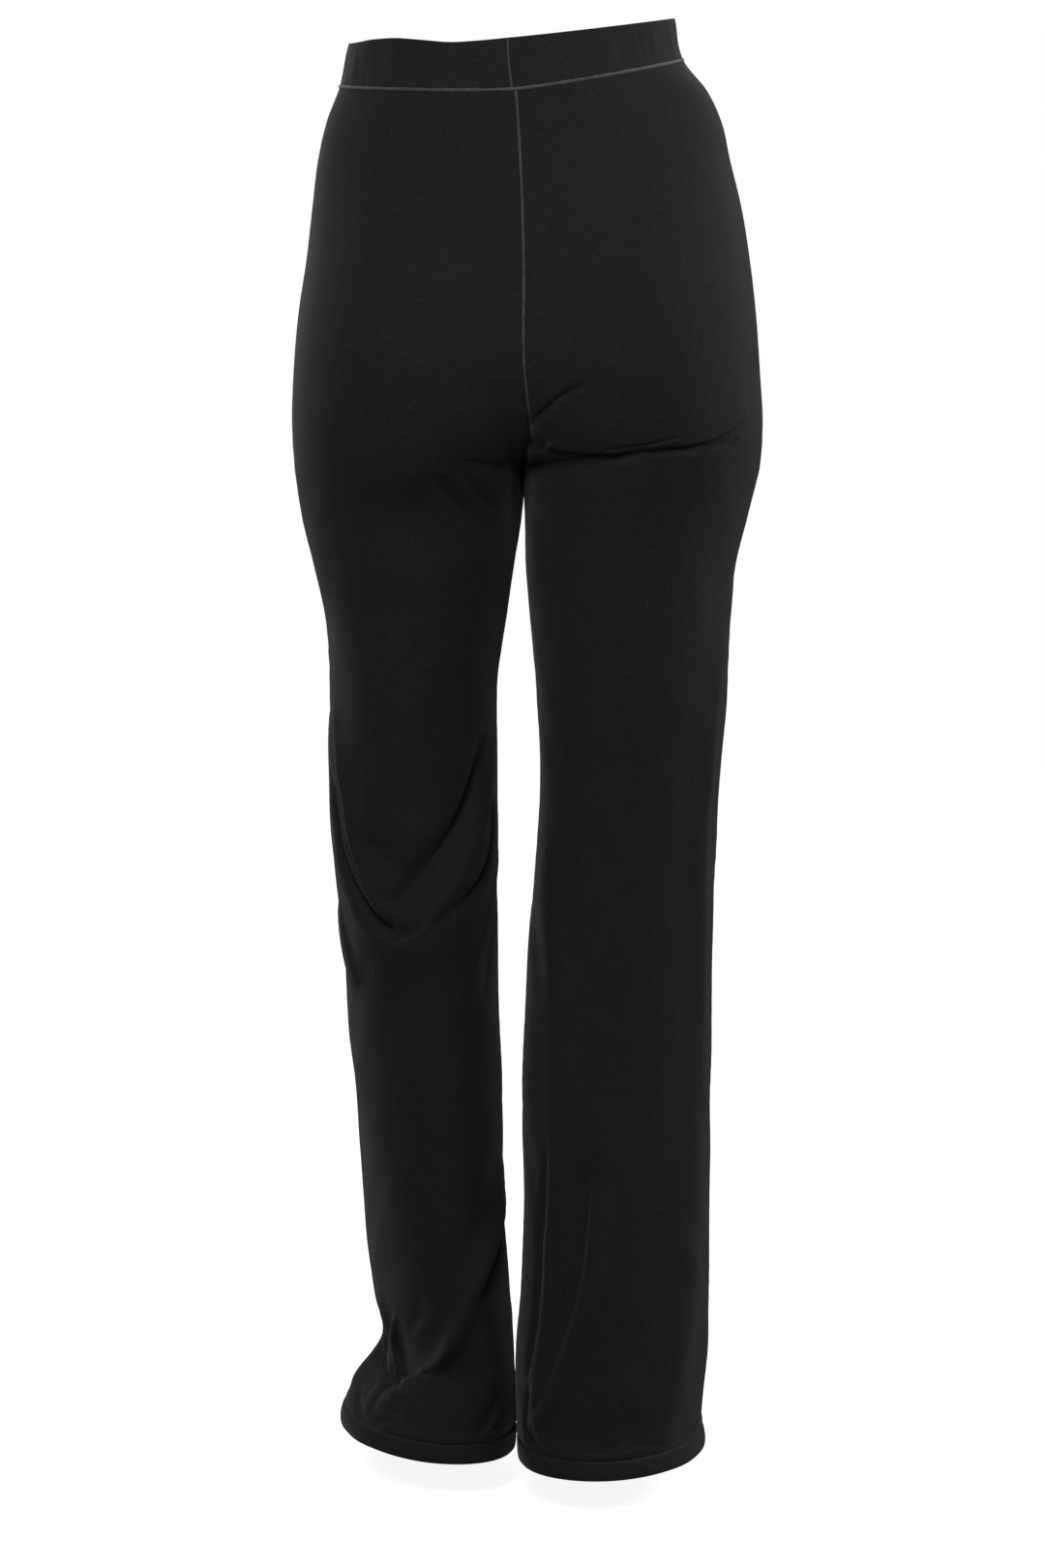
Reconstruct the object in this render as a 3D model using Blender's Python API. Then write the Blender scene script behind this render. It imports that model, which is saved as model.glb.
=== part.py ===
"""Bell-bottom trousers in black jersey, worn and empty, held at the waist.

The frame's origin is the middle of the waistband's ring.  +Z is up, -Y is the
garment's front and +X its wearer's left.  Each panel is a loft through unlike
sections, from half of the seat's oval at the waist to half of a leg's ring at
the hem.  "drop" is the height below the origin, and "out" and "in" are measured
outwards from the mid-plane, so that both legs read the same way.
"""

import bpy
import numpy as np

# Driving sizes, in metres
CLOTH = 0.0012            # wall of the single jersey
BAND_CLOTH = 0.0024       # waistband: folded jersey over elastic
HEM_CLOTH = 0.0020        # hem: two layers of jersey
SEAM_GAP = 0.0003         # between pieces that are sewn together
BAND_TOP = -0.0180        # drop of the waistband's top edge at centre back
BAND_SEAM = 0.0205        # drop of the waistband's seam at centre back
SEAT_START = 0.2000       # where the centre seams begin to turn under
FORK = 0.3050             # lowest point of the crotch seam
HEM_SEAM = 1.0710         # top of the turned hem
HEM_FOLD = 1.0850         # the hem's lower fold
SIDE_RISE_TOP = 0.0045    # the waist's edge is higher at the sides by this
SIDE_RISE_SEAM = 0.0110   # and so is the waistband's seam
SIDE_LEAD = 0.0300        # the row through the fork is this much higher at the side seam
FRONT_DIP = 0.0060        # the waist's edge is lower at centre front by this
FRONT_LIFT = 0.0120       # the front of the hem rides this much higher, on the foot
HEM_KICK = 0.0035         # the hem turns outwards by this at its fold
HIP_TILT = 0.0770         # slope of the waist: the right hip is raised
GAUGE = 0.0800            # metres of cloth for each radian round a leg

# Where one thing gives way to another: between these drops, or these degrees of
# cloth from the centre or inside seam
TILT_FADES = (0.100, 0.300)
WAIST_TO_SEAT = (0.020, 0.180)
LEAD_FADES = (0.305, 0.445)
FRONT_LIFTS = (0.930, 1.070)
KICK_STARTS = (1.060, 1.085)
FOLDS_START = (0.040, 0.100)
THIGHS_PART = (0.360, 0.410)
HEMS_MEET = (0.930, 0.990)
FOLDS_FROM_SEAM = (4.0, 25.0)
KICK_FROM_SEAM = (0.0, 40.0)

# Grid of each leg: columns round it and rows down it
BACK_COLUMNS = 18
FRONT_COLUMNS = 14
BAND_ROWS = 3
SEAT_ROWS = 6
CROTCH_ROWS = 7
LEG_ROWS = ((0.305, 8), (0.515, 12), (0.715, 8), (0.950, 8))   # from that drop, so many rows
HEM_ROWS = 2
FINE = 90                 # samples on a quarter turn before the columns are spaced
FOLD_STEPS = 60           # samples along a fold

SIDES = {"left": 1.0, "right": -1.0}

# The centre seam's line, seen from behind (drop, x).
CENTRE = (
    (-0.030, 0.0048), (0.000, 0.0024), (0.0205, -0.0009), (0.050, -0.0030), (0.090, -0.0052),
    (0.150, -0.0068), (0.220, -0.0070), (0.270, -0.0105), (0.305, -0.0085),
)

# One row for each section: drop, out, in, back, front, turn of the foot in degrees.
COLUMNS = ("drop", "out", "in", "back", "front", "turn")
SECTIONS = {
    "left": (
        (-0.035, 0.1225, 0.0, 0.090, -0.092, 0),
        (-0.013, 0.1265, 0.0, 0.091, -0.093, 0),
        (0.019, 0.1333, 0.0, 0.095, -0.096, 0),
        (0.045, 0.1432, 0.0, 0.100, -0.099, 0),
        (0.075, 0.1502, 0.0, 0.107, -0.102, 0),
        (0.110, 0.1545, 0.0, 0.117, -0.104, 0),
        (0.150, 0.1590, 0.0, 0.129, -0.104, 0),
        (0.190, 0.1650, 0.0, 0.138, -0.103, 0),
        (0.235, 0.1690, 0.0, 0.140, -0.100, 0),
        (0.280, 0.1705, 0.0, 0.131, -0.098, 0),
        (0.310, 0.1690, -0.0078, 0.115, -0.101, 0),
        (0.335, 0.1662, -0.0076, 0.095, -0.106, 0),
        (0.350, 0.1640, -0.0055, 0.089, -0.108, 0),
        (0.385, 0.1565, 0.0000, 0.081, -0.110, 0),
        (0.430, 0.1470, 0.0070, 0.069, -0.112, 0),
        (0.480, 0.1435, 0.0130, 0.058, -0.113, 0),
        (0.540, 0.1425, 0.0140, 0.049, -0.117, 0),
        (0.610, 0.1405, 0.0140, 0.045, -0.123, 2),
        (0.680, 0.1350, 0.0137, 0.048, -0.131, 4),
        (0.750, 0.1315, 0.0116, 0.052, -0.137, 7),
        (0.820, 0.1255, 0.0098, 0.054, -0.143, 10),
        (0.890, 0.1210, 0.0090, 0.054, -0.150, 12),
        (0.950, 0.1170, 0.0050, 0.053, -0.155, 14),
        (0.985, 0.1116, 0.0020, 0.052, -0.158, 15),
        (1.003, 0.1062, 0.0008, 0.051, -0.159, 16),
        (1.018, 0.1052, 0.0002, 0.051, -0.161, 17),
        (1.034, 0.1125, -0.0005, 0.051, -0.163, 17),
        (1.050, 0.1262, -0.0008, 0.052, -0.165, 18),
        (1.070, 0.1360, -0.0008, 0.054, -0.168, 18),
        (1.090, 0.1375, -0.0005, 0.056, -0.170, 18),
    ),
    "right": (
        (-0.035, 0.1215, 0.0, 0.090, -0.092, 0),
        (0.000, 0.1290, 0.0, 0.093, -0.094, 0),
        (0.022, 0.1465, 0.0, 0.096, -0.097, 0),
        (0.045, 0.1575, 0.0, 0.100, -0.099, 0),
        (0.075, 0.1645, 0.0, 0.107, -0.102, 0),
        (0.110, 0.1730, 0.0, 0.117, -0.104, 0),
        (0.150, 0.1795, 0.0, 0.129, -0.104, 0),
        (0.190, 0.1842, 0.0, 0.138, -0.103, 0),
        (0.235, 0.1875, 0.0, 0.140, -0.100, 0),
        (0.280, 0.1900, 0.0, 0.131, -0.098, 0),
        (0.310, 0.1880, 0.0092, 0.118, -0.098, 0),
        (0.335, 0.1820, 0.0086, 0.109, -0.095, 0),
        (0.350, 0.1785, 0.0086, 0.105, -0.094, 0),
        (0.385, 0.1705, 0.0092, 0.099, -0.093, 0),
        (0.430, 0.1665, 0.0125, 0.094, -0.090, 0),
        (0.480, 0.1645, 0.0160, 0.088, -0.086, 0),
        (0.540, 0.1605, 0.0200, 0.082, -0.084, 0),
        (0.610, 0.1560, 0.0165, 0.078, -0.083, 0),
        (0.680, 0.1545, 0.0110, 0.078, -0.083, 1),
        (0.750, 0.1535, 0.0068, 0.080, -0.085, 2),
        (0.820, 0.1533, 0.0060, 0.084, -0.088, 4),
        (0.890, 0.1527, 0.0067, 0.089, -0.094, 6),
        (0.950, 0.1532, 0.0052, 0.094, -0.100, 8),
        (1.000, 0.1522, 0.0030, 0.097, -0.104, 10),
        (1.030, 0.1502, 0.0030, 0.099, -0.106, 11),
        (1.050, 0.1487, 0.0036, 0.100, -0.108, 12),
        (1.070, 0.1477, 0.0048, 0.103, -0.111, 12),
        (1.090, 0.1477, 0.0060, 0.106, -0.114, 12),
    ),
}

# The largest folds.  A fold is a ridge, or a trough where its height is below 0,
# that follows points (round, drop).  "round" is in degrees of cloth: 0 at the
# centre or inside seam, 90 mid back, 180 at the side seam and 270 mid front.
# "above" and "below" are the widths of its two slopes on a fold drawn from the
# side seam inwards; on one drawn downwards they are its inner and outer slopes.
FOLDS = {
    "left": (
        (0.0100, 0.024, 0.013, ((170, 0.500), (159, 0.540), (145, 0.597), (125, 0.642), (104, 0.671),
                                (84, 0.659), (66, 0.630), (50, 0.603), (28, 0.583), (8, 0.572))),
        (-0.0070, 0.012, 0.014, ((22, 0.530), (42, 0.556), (62, 0.592), (80, 0.612), (100, 0.618),
                                 (122, 0.596))),
        (-0.0060, 0.014, 0.020, ((150, 0.672), (124, 0.700), (104, 0.712), (84, 0.702), (60, 0.668),
                                 (40, 0.640))),
        (0.0050, 0.014, 0.014, ((166, 0.655), (152, 0.690), (136, 0.716))),
        (0.0055, 0.040, 0.040, ((108, 0.450), (104, 0.560))),
        (-0.0035, 0.013, 0.013, ((84, 0.318), (64, 0.340), (44, 0.362))),
        (0.0080, 0.016, 0.013, ((14, 0.850), (29, 0.892), (45, 0.928), (58, 0.976), (76, 1.016),
                                (105, 1.042), (124, 1.044))),
        (-0.0085, 0.012, 0.013, ((124, 0.986), (120, 1.018), (100, 1.022), (80, 1.000), (68, 0.968))),
        (0.0055, 0.012, 0.014, ((140, 0.965), (138, 1.005), (128, 1.030))),
        (-0.0045, 0.012, 0.014, ((112, 0.975), (118, 1.005), (119, 1.040))),
        (0.0060, 0.018, 0.018, ((152, 1.014), (168, 1.036), (180, 1.056))),
        (0.0050, 0.014, 0.014, ((300, 0.400), (286, 0.520), (282, 0.620))),
        (-0.0050, 0.014, 0.014, ((210, 0.700), (250, 0.676), (300, 0.690), (338, 0.730))),
        (0.0060, 0.018, 0.016, ((236, 0.700), (240, 0.820), (230, 0.940), (215, 1.050))),
        (0.0060, 0.018, 0.018, ((312, 0.760), (318, 0.880), (326, 1.050))),
        (-0.0070, 0.014, 0.016, ((235, 1.000), (270, 1.014), (310, 1.004))),
    ),
    "right": (
        (-0.0035, 0.013, 0.013, ((10, 0.292), (35, 0.299), (54, 0.303), (79, 0.305), (105, 0.306),
                                 (130, 0.303))),
        (0.0055, 0.018, 0.014, ((30, 0.600), (40, 0.650), (54, 0.735), (55, 0.825), (48, 0.920),
                                (40, 1.060))),
        (0.0060, 0.018, 0.013, ((84, 0.790), (80, 0.840), (74, 0.895), (65, 0.962), (56, 1.010),
                                (38, 1.060))),
        (-0.0035, 0.016, 0.016, ((68, 0.800), (66, 0.870), (58, 0.950), (48, 1.020))),
        (0.0050, 0.014, 0.014, ((166, 0.400), (146, 0.479), (141, 0.566), (144, 0.660), (148, 0.730),
                                (152, 0.790))),
        (0.0055, 0.020, 0.020, ((148, 0.780), (136, 0.900), (124, 1.010), (114, 1.066))),
        (0.0050, 0.020, 0.020, ((300, 0.420), (296, 0.560), (306, 0.700))),
        (0.0060, 0.020, 0.018, ((246, 0.640), (238, 0.800), (226, 1.050))),
        (0.0060, 0.018, 0.018, ((306, 0.720), (314, 0.880), (322, 1.050))),
        (-0.0060, 0.014, 0.014, ((238, 1.000), (272, 1.012), (306, 1.000))),
    ),
}

CLOTH_BLACK = (0.012, 0.012, 0.013, 1.0)
BAND_BLACK = (0.015, 0.015, 0.016, 1.0)
CLOTH_ROUGHNESS = 0.85
COLLECTION = "bell_bottom_trousers"


def ease(value, span):
    """Rises smoothly from 0 to 1 as the value crosses the span."""
    t = np.clip((value - span[0]) / (span[1] - span[0]), 0.0, 1.0)
    return t * t * (3.0 - 2.0 * t)


def curve_through(at, known, values):
    """Cubic through (known, values) whose slope at each is the mean slope beside it."""
    known, values = np.asarray(known, float), np.asarray(values, float)
    slopes = np.gradient(values, known)
    at = np.clip(at, known[0], known[-1])
    left = np.clip(np.searchsorted(known, at) - 1, 0, len(known) - 2)
    width = known[left + 1] - known[left]
    t = (at - known[left]) / width
    return (
        values[left] * (1 + 2 * t) * (1 - t) ** 2
        + values[left + 1] * t * t * (3 - 2 * t)
        + width * slopes[left] * t * (1 - t) ** 2
        - width * slopes[left + 1] * t * t * (1 - t)
    )


def size(side, name, drop):
    """A column of that side's sections, at any drop."""
    rows = np.array(SECTIONS[side])
    return curve_through(drop, rows[:, 0], rows[:, COLUMNS.index(name)])


def inner_edge(side, drop, gap):
    """The centre seam above the fork and the leg's inner side below it, measured outwards."""
    if drop > FORK:
        return float(size(side, "in", drop))
    line = np.array(CENTRE)
    return SIDES[side] * float(curve_through(drop, line[:, 0], line[:, 1])) + gap / 2


def section(side, centre_drop, side_drop, closing, gap):
    """One row of cloth from centre back round the side to centre front.

    At the waist it is half an oval.  At the seat the half oval fills out to the
    outer half of a leg's ring with a flat stretch to the centre.  closing goes
    from 0 to 1 as that stretch turns under the crotch to make the ring whole.
    """
    turned = np.linspace(0.0, np.pi, 4 * FINE + 1)
    waist = 1.0 - float(ease(centre_drop, (0.0, SEAT_START)))
    drop = centre_drop + (side_drop - centre_drop) * np.sin(turned) ** (2.0 - 0.7 * waist)
    on_front = turned > np.pi / 2
    drop += np.where(on_front, FRONT_DIP * waist * np.cos(turned) ** 2, 0.0)
    tilt = HIP_TILT * (1.0 - float(ease(centre_drop, TILT_FADES)))
    low_side = side_drop + SIDES[side] * tilt * float(size(side, "out", side_drop))
    out, inner = float(size(side, "out", low_side)), inner_edge(side, centre_drop, gap)
    back, front = size(side, "back", drop), size(side, "front", drop)
    middle, depth = (back + front) / 2, (back - front) / 2

    foot = np.radians(size(side, "turn", drop))
    half = (out - inner) / 2
    across = np.sqrt(half**2 - (depth * np.sin(foot)) ** 2) / np.cos(foot)
    round_leg = 2 * turned + np.arctan2(depth * np.sin(foot), across * np.cos(foot))
    flat = np.where(np.abs(np.cos(turned)) > np.sqrt(0.5), 1.0 - closing, 0.0) * np.sign(np.cos(turned))
    wide = -across * np.cos(round_leg)
    long = depth * (np.sin(round_leg) + flat * (1.0 - np.abs(np.sin(round_leg))))
    leg_x = (out + inner) / 2 + wide * np.cos(foot) - long * np.sin(foot)
    leg_y = middle + long * np.cos(foot) + wide * np.sin(foot)

    seat = float(ease(centre_drop, WAIST_TO_SEAT))
    x = (1 - seat) * (inner + (out - inner) * np.sin(turned)) + seat * leg_x
    y = (1 - seat) * (middle + depth * np.cos(turned)) + seat * leg_y
    lift = FRONT_LIFT * float(ease(centre_drop, FRONT_LIFTS))
    z = -drop - SIDES[side] * tilt * x + np.where(on_front, lift * np.sin(2 * turned) ** 2, 0.0)
    return np.column_stack([SIDES[side] * x, y, z])


def spaced(points):
    """The row's points at even steps along the cloth: back columns, then front columns."""
    half = len(points) // 2
    parts = []
    for part, count in ((points[: half + 1], BACK_COLUMNS), (points[half:], FRONT_COLUMNS)):
        along = np.concatenate([[0.0], np.cumsum(np.linalg.norm(np.diff(part, axis=0), axis=1))])
        steps = np.linspace(0.0, along[-1], count + 1)
        parts.append(np.column_stack([np.interp(steps, along, part[:, k]) for k in range(3)]))
    return np.concatenate([parts[0], parts[1][1:]])


def column_degrees():
    """Degrees of cloth of each column."""
    back = np.linspace(0.0, 180.0, BACK_COLUMNS + 1)
    front = np.linspace(180.0, 360.0, FRONT_COLUMNS + 1)
    return np.concatenate([back, front[1:]])


def panel_rows():
    """(centre drop, side drop, closing) of each row from the waist seam to the hem's seam."""
    rows = []
    for k in range(SEAT_ROWS):
        centre = BAND_SEAM + (SEAT_START - BAND_SEAM) * k / SEAT_ROWS
        rows.append((centre, centre - SIDE_RISE_SEAM, 0.0))
    side_start, side_end = SEAT_START - SIDE_RISE_SEAM, FORK - SIDE_LEAD
    for k in range(CROTCH_ROWS):
        quarter = k / CROTCH_ROWS * np.pi / 2
        rows.append((SEAT_START + (FORK - SEAT_START) * np.sin(quarter),
                     side_start + (side_end - side_start) * k / CROTCH_ROWS, 1.0 - np.cos(quarter)))
    ends = [start for start, _ in LEG_ROWS[1:]] + [HEM_SEAM]
    for (start, count), end in zip(LEG_ROWS, ends):
        for centre in start + (end - start) * np.arange(count) / count:
            rows.append((centre, centre - SIDE_LEAD * (1.0 - float(ease(centre, LEAD_FADES))), 1.0))
    rows.append((HEM_SEAM, HEM_SEAM, 1.0))
    return rows


def fold_height(side, degrees, drop):
    """How far the folds lift the cloth: each is a bell curve across its line, with unlike slopes."""
    lifted = np.zeros_like(drop)
    round_leg = 2 * np.pi * GAUGE
    for height, above, below, points in FOLDS[side]:
        known = np.array(points, float)
        knots = np.linspace(0.0, 1.0, len(known))
        steps = np.linspace(0.0, 1.0, FOLD_STEPS)
        path_u = np.radians(curve_through(steps, knots, known[:, 0])) * GAUGE
        path_w = curve_through(steps, knots, known[:, 1])
        du = np.radians(degrees)[..., None] * GAUGE - path_u
        du = (du + round_leg / 2) % round_leg - round_leg / 2
        dw = drop[..., None] - path_w
        apart = np.hypot(du, dw)
        nearest = apart.argmin(axis=-1)
        near_u = np.take_along_axis(du, nearest[..., None], -1)[..., 0]
        near_w = np.take_along_axis(dw, nearest[..., None], -1)[..., 0]
        past = near_u * np.gradient(path_w)[nearest] > near_w * np.gradient(path_u)[nearest]
        slope = np.where(past, below, above)
        ends = np.sqrt(np.sin(np.pi * np.clip(steps[nearest], 0.01, 0.99)))
        lifted += height * ends * np.exp(-((apart.min(axis=-1) / slope) ** 2))
    return lifted


def fold_room(degrees, drop, open_row):
    """From 0 to 1, how much room a fold has: none at the waist, and none where the legs touch."""
    from_seam = ease(np.minimum(degrees, 360.0 - degrees), FOLDS_FROM_SEAM)
    touching = np.maximum(1.0 - ease(drop, THIGHS_PART), ease(drop, HEMS_MEET))
    touching = np.where(open_row, 1.0, touching)
    return ease(drop, FOLDS_START) * (1.0 - (1.0 - from_seam) * touching)


def normals(grid, side, open_row):
    """Outward unit normals of a grid; a row that isn't open meets itself at the inside seam."""
    across, down = np.gradient(grid, axis=1), np.gradient(grid, axis=0)
    meeting = np.where(open_row, across[:, 0], (grid[:, 1] - grid[:, -2]) / 2)
    across[:, 0] = meeting
    across[:, -1] = np.where(open_row, across[:, -1], meeting)
    out = SIDES[side] * np.cross(across, down)
    return out / np.linalg.norm(out, axis=2, keepdims=True)


def cloth_grid(side, rows, gap=SEAM_GAP):
    """Points and outward normals of a stretch of cloth on one side of the garment, folds included."""
    grid = np.array([spaced(section(side, *row, gap)) for row in rows])
    open_row = np.array([[centre <= FORK] for centre, _, _ in rows])
    degrees = np.broadcast_to(column_degrees(), grid.shape[:2])
    drop = np.broadcast_to([[centre] for centre, _, _ in rows], grid.shape[:2])
    lift = fold_height(side, degrees, drop) * fold_room(degrees, drop, open_row)
    kick = 0.35 + 0.65 * ease(np.minimum(degrees, 360.0 - degrees), KICK_FROM_SEAM)
    lift += HEM_KICK * ease(drop, KICK_STARTS) * kick
    grid = grid + normals(grid, side, open_row) * lift[..., None]
    return grid, normals(grid, side, open_row)


def drawn_in(edge, inside):
    """An edge of a piece, moved half a seam gap towards the line of points next to it."""
    step = inside - edge
    return edge + step / np.linalg.norm(step, axis=-1, keepdims=True) * (SEAM_GAP / 2)


def patch(index):
    """Quads over a grid of point numbers."""
    return np.stack([index[:-1, :-1], index[:-1, 1:], index[1:, 1:], index[1:, :-1]], -1).reshape(-1, 4)


def wall(name, outer, out, side, thickness, material, ring=False):
    """A closed wall of cloth from its outer face inwards; as a ring, each row closes on itself.

    The inner face follows the normals of the whole garment, so the edges of
    neighbouring pieces stay parallel along their seam.
    """
    index = np.arange(2 * outer.shape[0] * outer.shape[1]).reshape(2, *outer.shape[:2])
    if ring:
        index = np.concatenate([index, index[:, :, :1]], axis=2)
    face, lining = index
    sheets = [face, lining[::-1], np.stack([lining[0], face[0]]), np.stack([face[-1], lining[-1]])]
    if not ring:
        sheets.append(np.stack([lining[:, 0], face[:, 0]], axis=1))
        sheets.append(np.stack([face[:, -1], lining[:, -1]], axis=1))
    faces = np.concatenate([patch(sheet) for sheet in sheets])
    if SIDES[side] < 0:
        faces = faces[:, ::-1]
    points = np.concatenate([outer.reshape(-1, 3), (outer - out * thickness).reshape(-1, 3)])
    mesh = bpy.data.meshes.new(name)
    mesh.from_pydata(points.tolist(), [], faces.tolist())
    mesh.materials.append(material)
    mesh.shade_smooth()
    bpy.data.collections[COLLECTION].objects.link(bpy.data.objects.new(name, mesh))


def cloth_material(name, colour):
    """Matt black jersey."""
    material = bpy.data.materials.new(name)
    material.use_nodes = True
    shader = material.node_tree.nodes["Principled BSDF"]
    shader.inputs["Base Color"].default_value = colour
    shader.inputs["Roughness"].default_value = CLOTH_ROUGHNESS
    shader.inputs["Metallic"].default_value = 0.0
    return material


def make_panels(side, material):
    """The back and front panel of one leg, which meet at the side seam and the inside seam."""
    rows = panel_rows()
    grid, out = cloth_grid(side, rows)
    from_fork = np.array([[centre >= FORK] for centre, _, _ in rows])
    grid[0], grid[-1] = drawn_in(grid[0], grid[1]), drawn_in(grid[-1], grid[-2])
    cuts = {"back": slice(0, BACK_COLUMNS + 1), "front": slice(BACK_COLUMNS, None)}
    for panel, cut in cuts.items():
        cloth = grid[:, cut].copy()
        side_seam, inwards = (-1, -1) if panel == "back" else (0, 1)
        cloth[:, side_seam] = drawn_in(cloth[:, side_seam], cloth[:, side_seam + inwards])
        inside = -1 - side_seam
        inseam = drawn_in(cloth[:, inside], cloth[:, inside - inwards])
        cloth[:, inside] = np.where(from_fork, inseam, cloth[:, inside])
        wall(f"{panel}_{side}", cloth, out[:, cut], side, CLOTH, material)


def make_hem(side, material):
    """The turned hem: a ring of two layers under the panels of one leg."""
    drops = np.linspace(HEM_SEAM, HEM_FOLD, HEM_ROWS + 1)
    grid, out = cloth_grid(side, [(drop, drop, 1.0) for drop in drops])
    grid[0] = drawn_in(grid[0], grid[1])
    wall(f"hem_{side}", grid[:, :-1], out[:, :-1], side, HEM_CLOTH, material, ring=True)


def make_waistband(material):
    """The waistband: one ring of folded cloth over elastic."""
    rows = []
    for centre in np.linspace(BAND_TOP, BAND_SEAM, BAND_ROWS + 1):
        seamwards = (centre - BAND_TOP) / (BAND_SEAM - BAND_TOP)
        rise = SIDE_RISE_TOP + (SIDE_RISE_SEAM - SIDE_RISE_TOP) * seamwards
        rows.append((centre, centre - rise, 0.0))
    halves = cloth_grid("left", rows, gap=0.0), cloth_grid("right", rows, gap=0.0)
    grid, out = (np.concatenate([left, right[:, -2:0:-1]], axis=1) for left, right in zip(*halves))
    grid[-1] = drawn_in(grid[-1], grid[-2])
    wall("waistband", grid, out, "left", BAND_CLOTH, material, ring=True)


def main():
    for old in list(bpy.data.objects):
        bpy.data.objects.remove(old, do_unlink=True)
    garment = bpy.data.collections.new(COLLECTION)
    bpy.context.scene.collection.children.link(garment)
    jersey = cloth_material("black_jersey", CLOTH_BLACK)
    make_waistband(cloth_material("black_waistband", BAND_BLACK))
    for side in SIDES:
        make_panels(side, jersey)
        make_hem(side, jersey)


main()
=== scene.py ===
"""Bell-bottom trousers in black jersey, worn and empty, seen from behind.

Each cloth piece follows the form of the solid that it replaces, on a finer grid
and with smaller creases, the deepest of them 10 mm.  The frame is the solids' own:
the middle of the waistband's ring is the origin, +Z is up, -Y the garment's front
and +X its left.  "drop" is a row's height below the origin at the centre seam,
"down" is any point's own height below the origin, and "degrees" go round the cloth
of one leg: 0 at the centre or inside seam, 90 mid back, 180 at the side seam and
270 mid front.  All lengths are in metres.
"""

import bpy
import numpy as np
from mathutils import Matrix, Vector


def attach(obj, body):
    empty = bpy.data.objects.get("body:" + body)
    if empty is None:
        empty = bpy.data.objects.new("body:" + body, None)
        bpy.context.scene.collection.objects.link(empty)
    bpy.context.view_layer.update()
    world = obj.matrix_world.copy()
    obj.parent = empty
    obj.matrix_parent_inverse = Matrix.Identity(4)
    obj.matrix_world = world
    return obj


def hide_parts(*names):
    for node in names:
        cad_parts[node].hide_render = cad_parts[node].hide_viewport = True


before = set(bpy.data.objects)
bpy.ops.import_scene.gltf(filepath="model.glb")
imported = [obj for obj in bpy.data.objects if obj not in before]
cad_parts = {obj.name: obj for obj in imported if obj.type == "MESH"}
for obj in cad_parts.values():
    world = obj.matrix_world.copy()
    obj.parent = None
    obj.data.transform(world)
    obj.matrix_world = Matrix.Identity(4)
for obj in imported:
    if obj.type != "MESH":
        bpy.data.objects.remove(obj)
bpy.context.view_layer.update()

# Driving sizes of the garment, in metres
CLOTH = 0.0012            # wall of the single jersey
BAND_CLOTH = 0.0024       # waistband: folded jersey over elastic
HEM_CLOTH = 0.0020        # hem: two layers of jersey
SEAM_GAP = 0.0003         # between pieces that are sewn together
CLOSED_GAP = 0.00004      # and where no raised seam covers the gap, as at the side seams
BAND_TOP = -0.0180        # drop of the waistband's top edge at centre back
BAND_SEAM = 0.0205        # drop of the waistband's seam at centre back
SEAT_START = 0.2000       # where the centre seams begin to turn under
FORK = 0.3050             # lowest point of the crotch seam
HEM_SEAM = 1.0710         # top of the turned hem
HEM_FOLD = 1.0850         # the hem's lower fold
SIDE_RISE_TOP = 0.0045    # the waist's edge is higher at the sides by this
SIDE_RISE_SEAM = 0.0110   # and so is the waistband's seam
SIDE_LEAD = 0.0300        # the row through the fork is this much higher at the side seam
FRONT_DIP = 0.0060        # the waist's edge is lower at centre front by this
FRONT_LIFT = 0.0120       # the front of the hem hangs this much higher
HEM_KICK = 0.0035         # the hem turns outwards by this at its fold
LEAST_KICK = 0.05         # and by this share of it where the two hems meet
HIP_TILT = 0.0770         # slope of the waist: the right hip is raised
GAUGE = 0.0800            # metres of cloth for each radian round a leg
SIDE_POWER = 2.0          # power of the sine that lifts a row towards the side seam
WAIST_POWER = 1.3         # and that power at the waist

# Where one thing gives way to another: between these drops, or these degrees
TILT_FADES = (0.100, 0.300)
WAIST_TO_SEAT = (0.020, 0.180)
LEAD_FADES = (0.305, 0.445)
FRONT_LIFTS = (0.930, 1.070)
KICK_STARTS = (1.060, 1.085)
FOLDS_START = (0.040, 0.100)
LEGS_PART = (0.360, 0.410)
HEMS_MEET = (0.930, 0.990)
FOLDS_FROM_SEAM = (4.0, 25.0)
CREASES_FROM_SEAM = (0.0, 2.5)
KICK_FROM_SEAM = (0.0, 40.0)

# The grid's steps: (from that drop, length of a step), and degrees between columns
SEAT_STEPS = ((0.0205, 0.0024), (0.046, 0.0036))
CROTCH_ROWS = 46
LEG_STEPS = ((0.305, 0.0018), (0.345, 0.0040), (0.500, 0.0024), (0.720, 0.0040), (0.930, 0.0021))
HEM_STEP = 0.0014
BAND_STEP = 0.0022
BACK_STEP = 1.60
FRONT_STEP = 2.20
BESIDE_SEAM = (0.0, 0.35, 0.80, 1.40, 2.20, 3.20)
FINE = 240                # samples on a quarter turn before the columns are spaced
ROWS_APART = 3.0          # keeps rows from meeting where all are spaced in one list
FOLD_STEPS = 90           # samples along a fold
FOLD_REACH = 3.2          # widths of its slope beyond which a fold lifts nothing
FOLD_ENDS = (0.003, 0.997)    # shares of its length where a fold's height is cut off

SIDES = {"left": 1.0, "right": -1.0}

# The centre seam's line, seen from behind (drop, x).
CENTRE = (
    (-0.030, 0.0048), (0.000, 0.0024), (0.0205, -0.0009), (0.050, -0.0030), (0.090, -0.0052),
    (0.150, -0.0068), (0.220, -0.0070), (0.270, -0.0105), (0.305, -0.0085),
)

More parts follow.
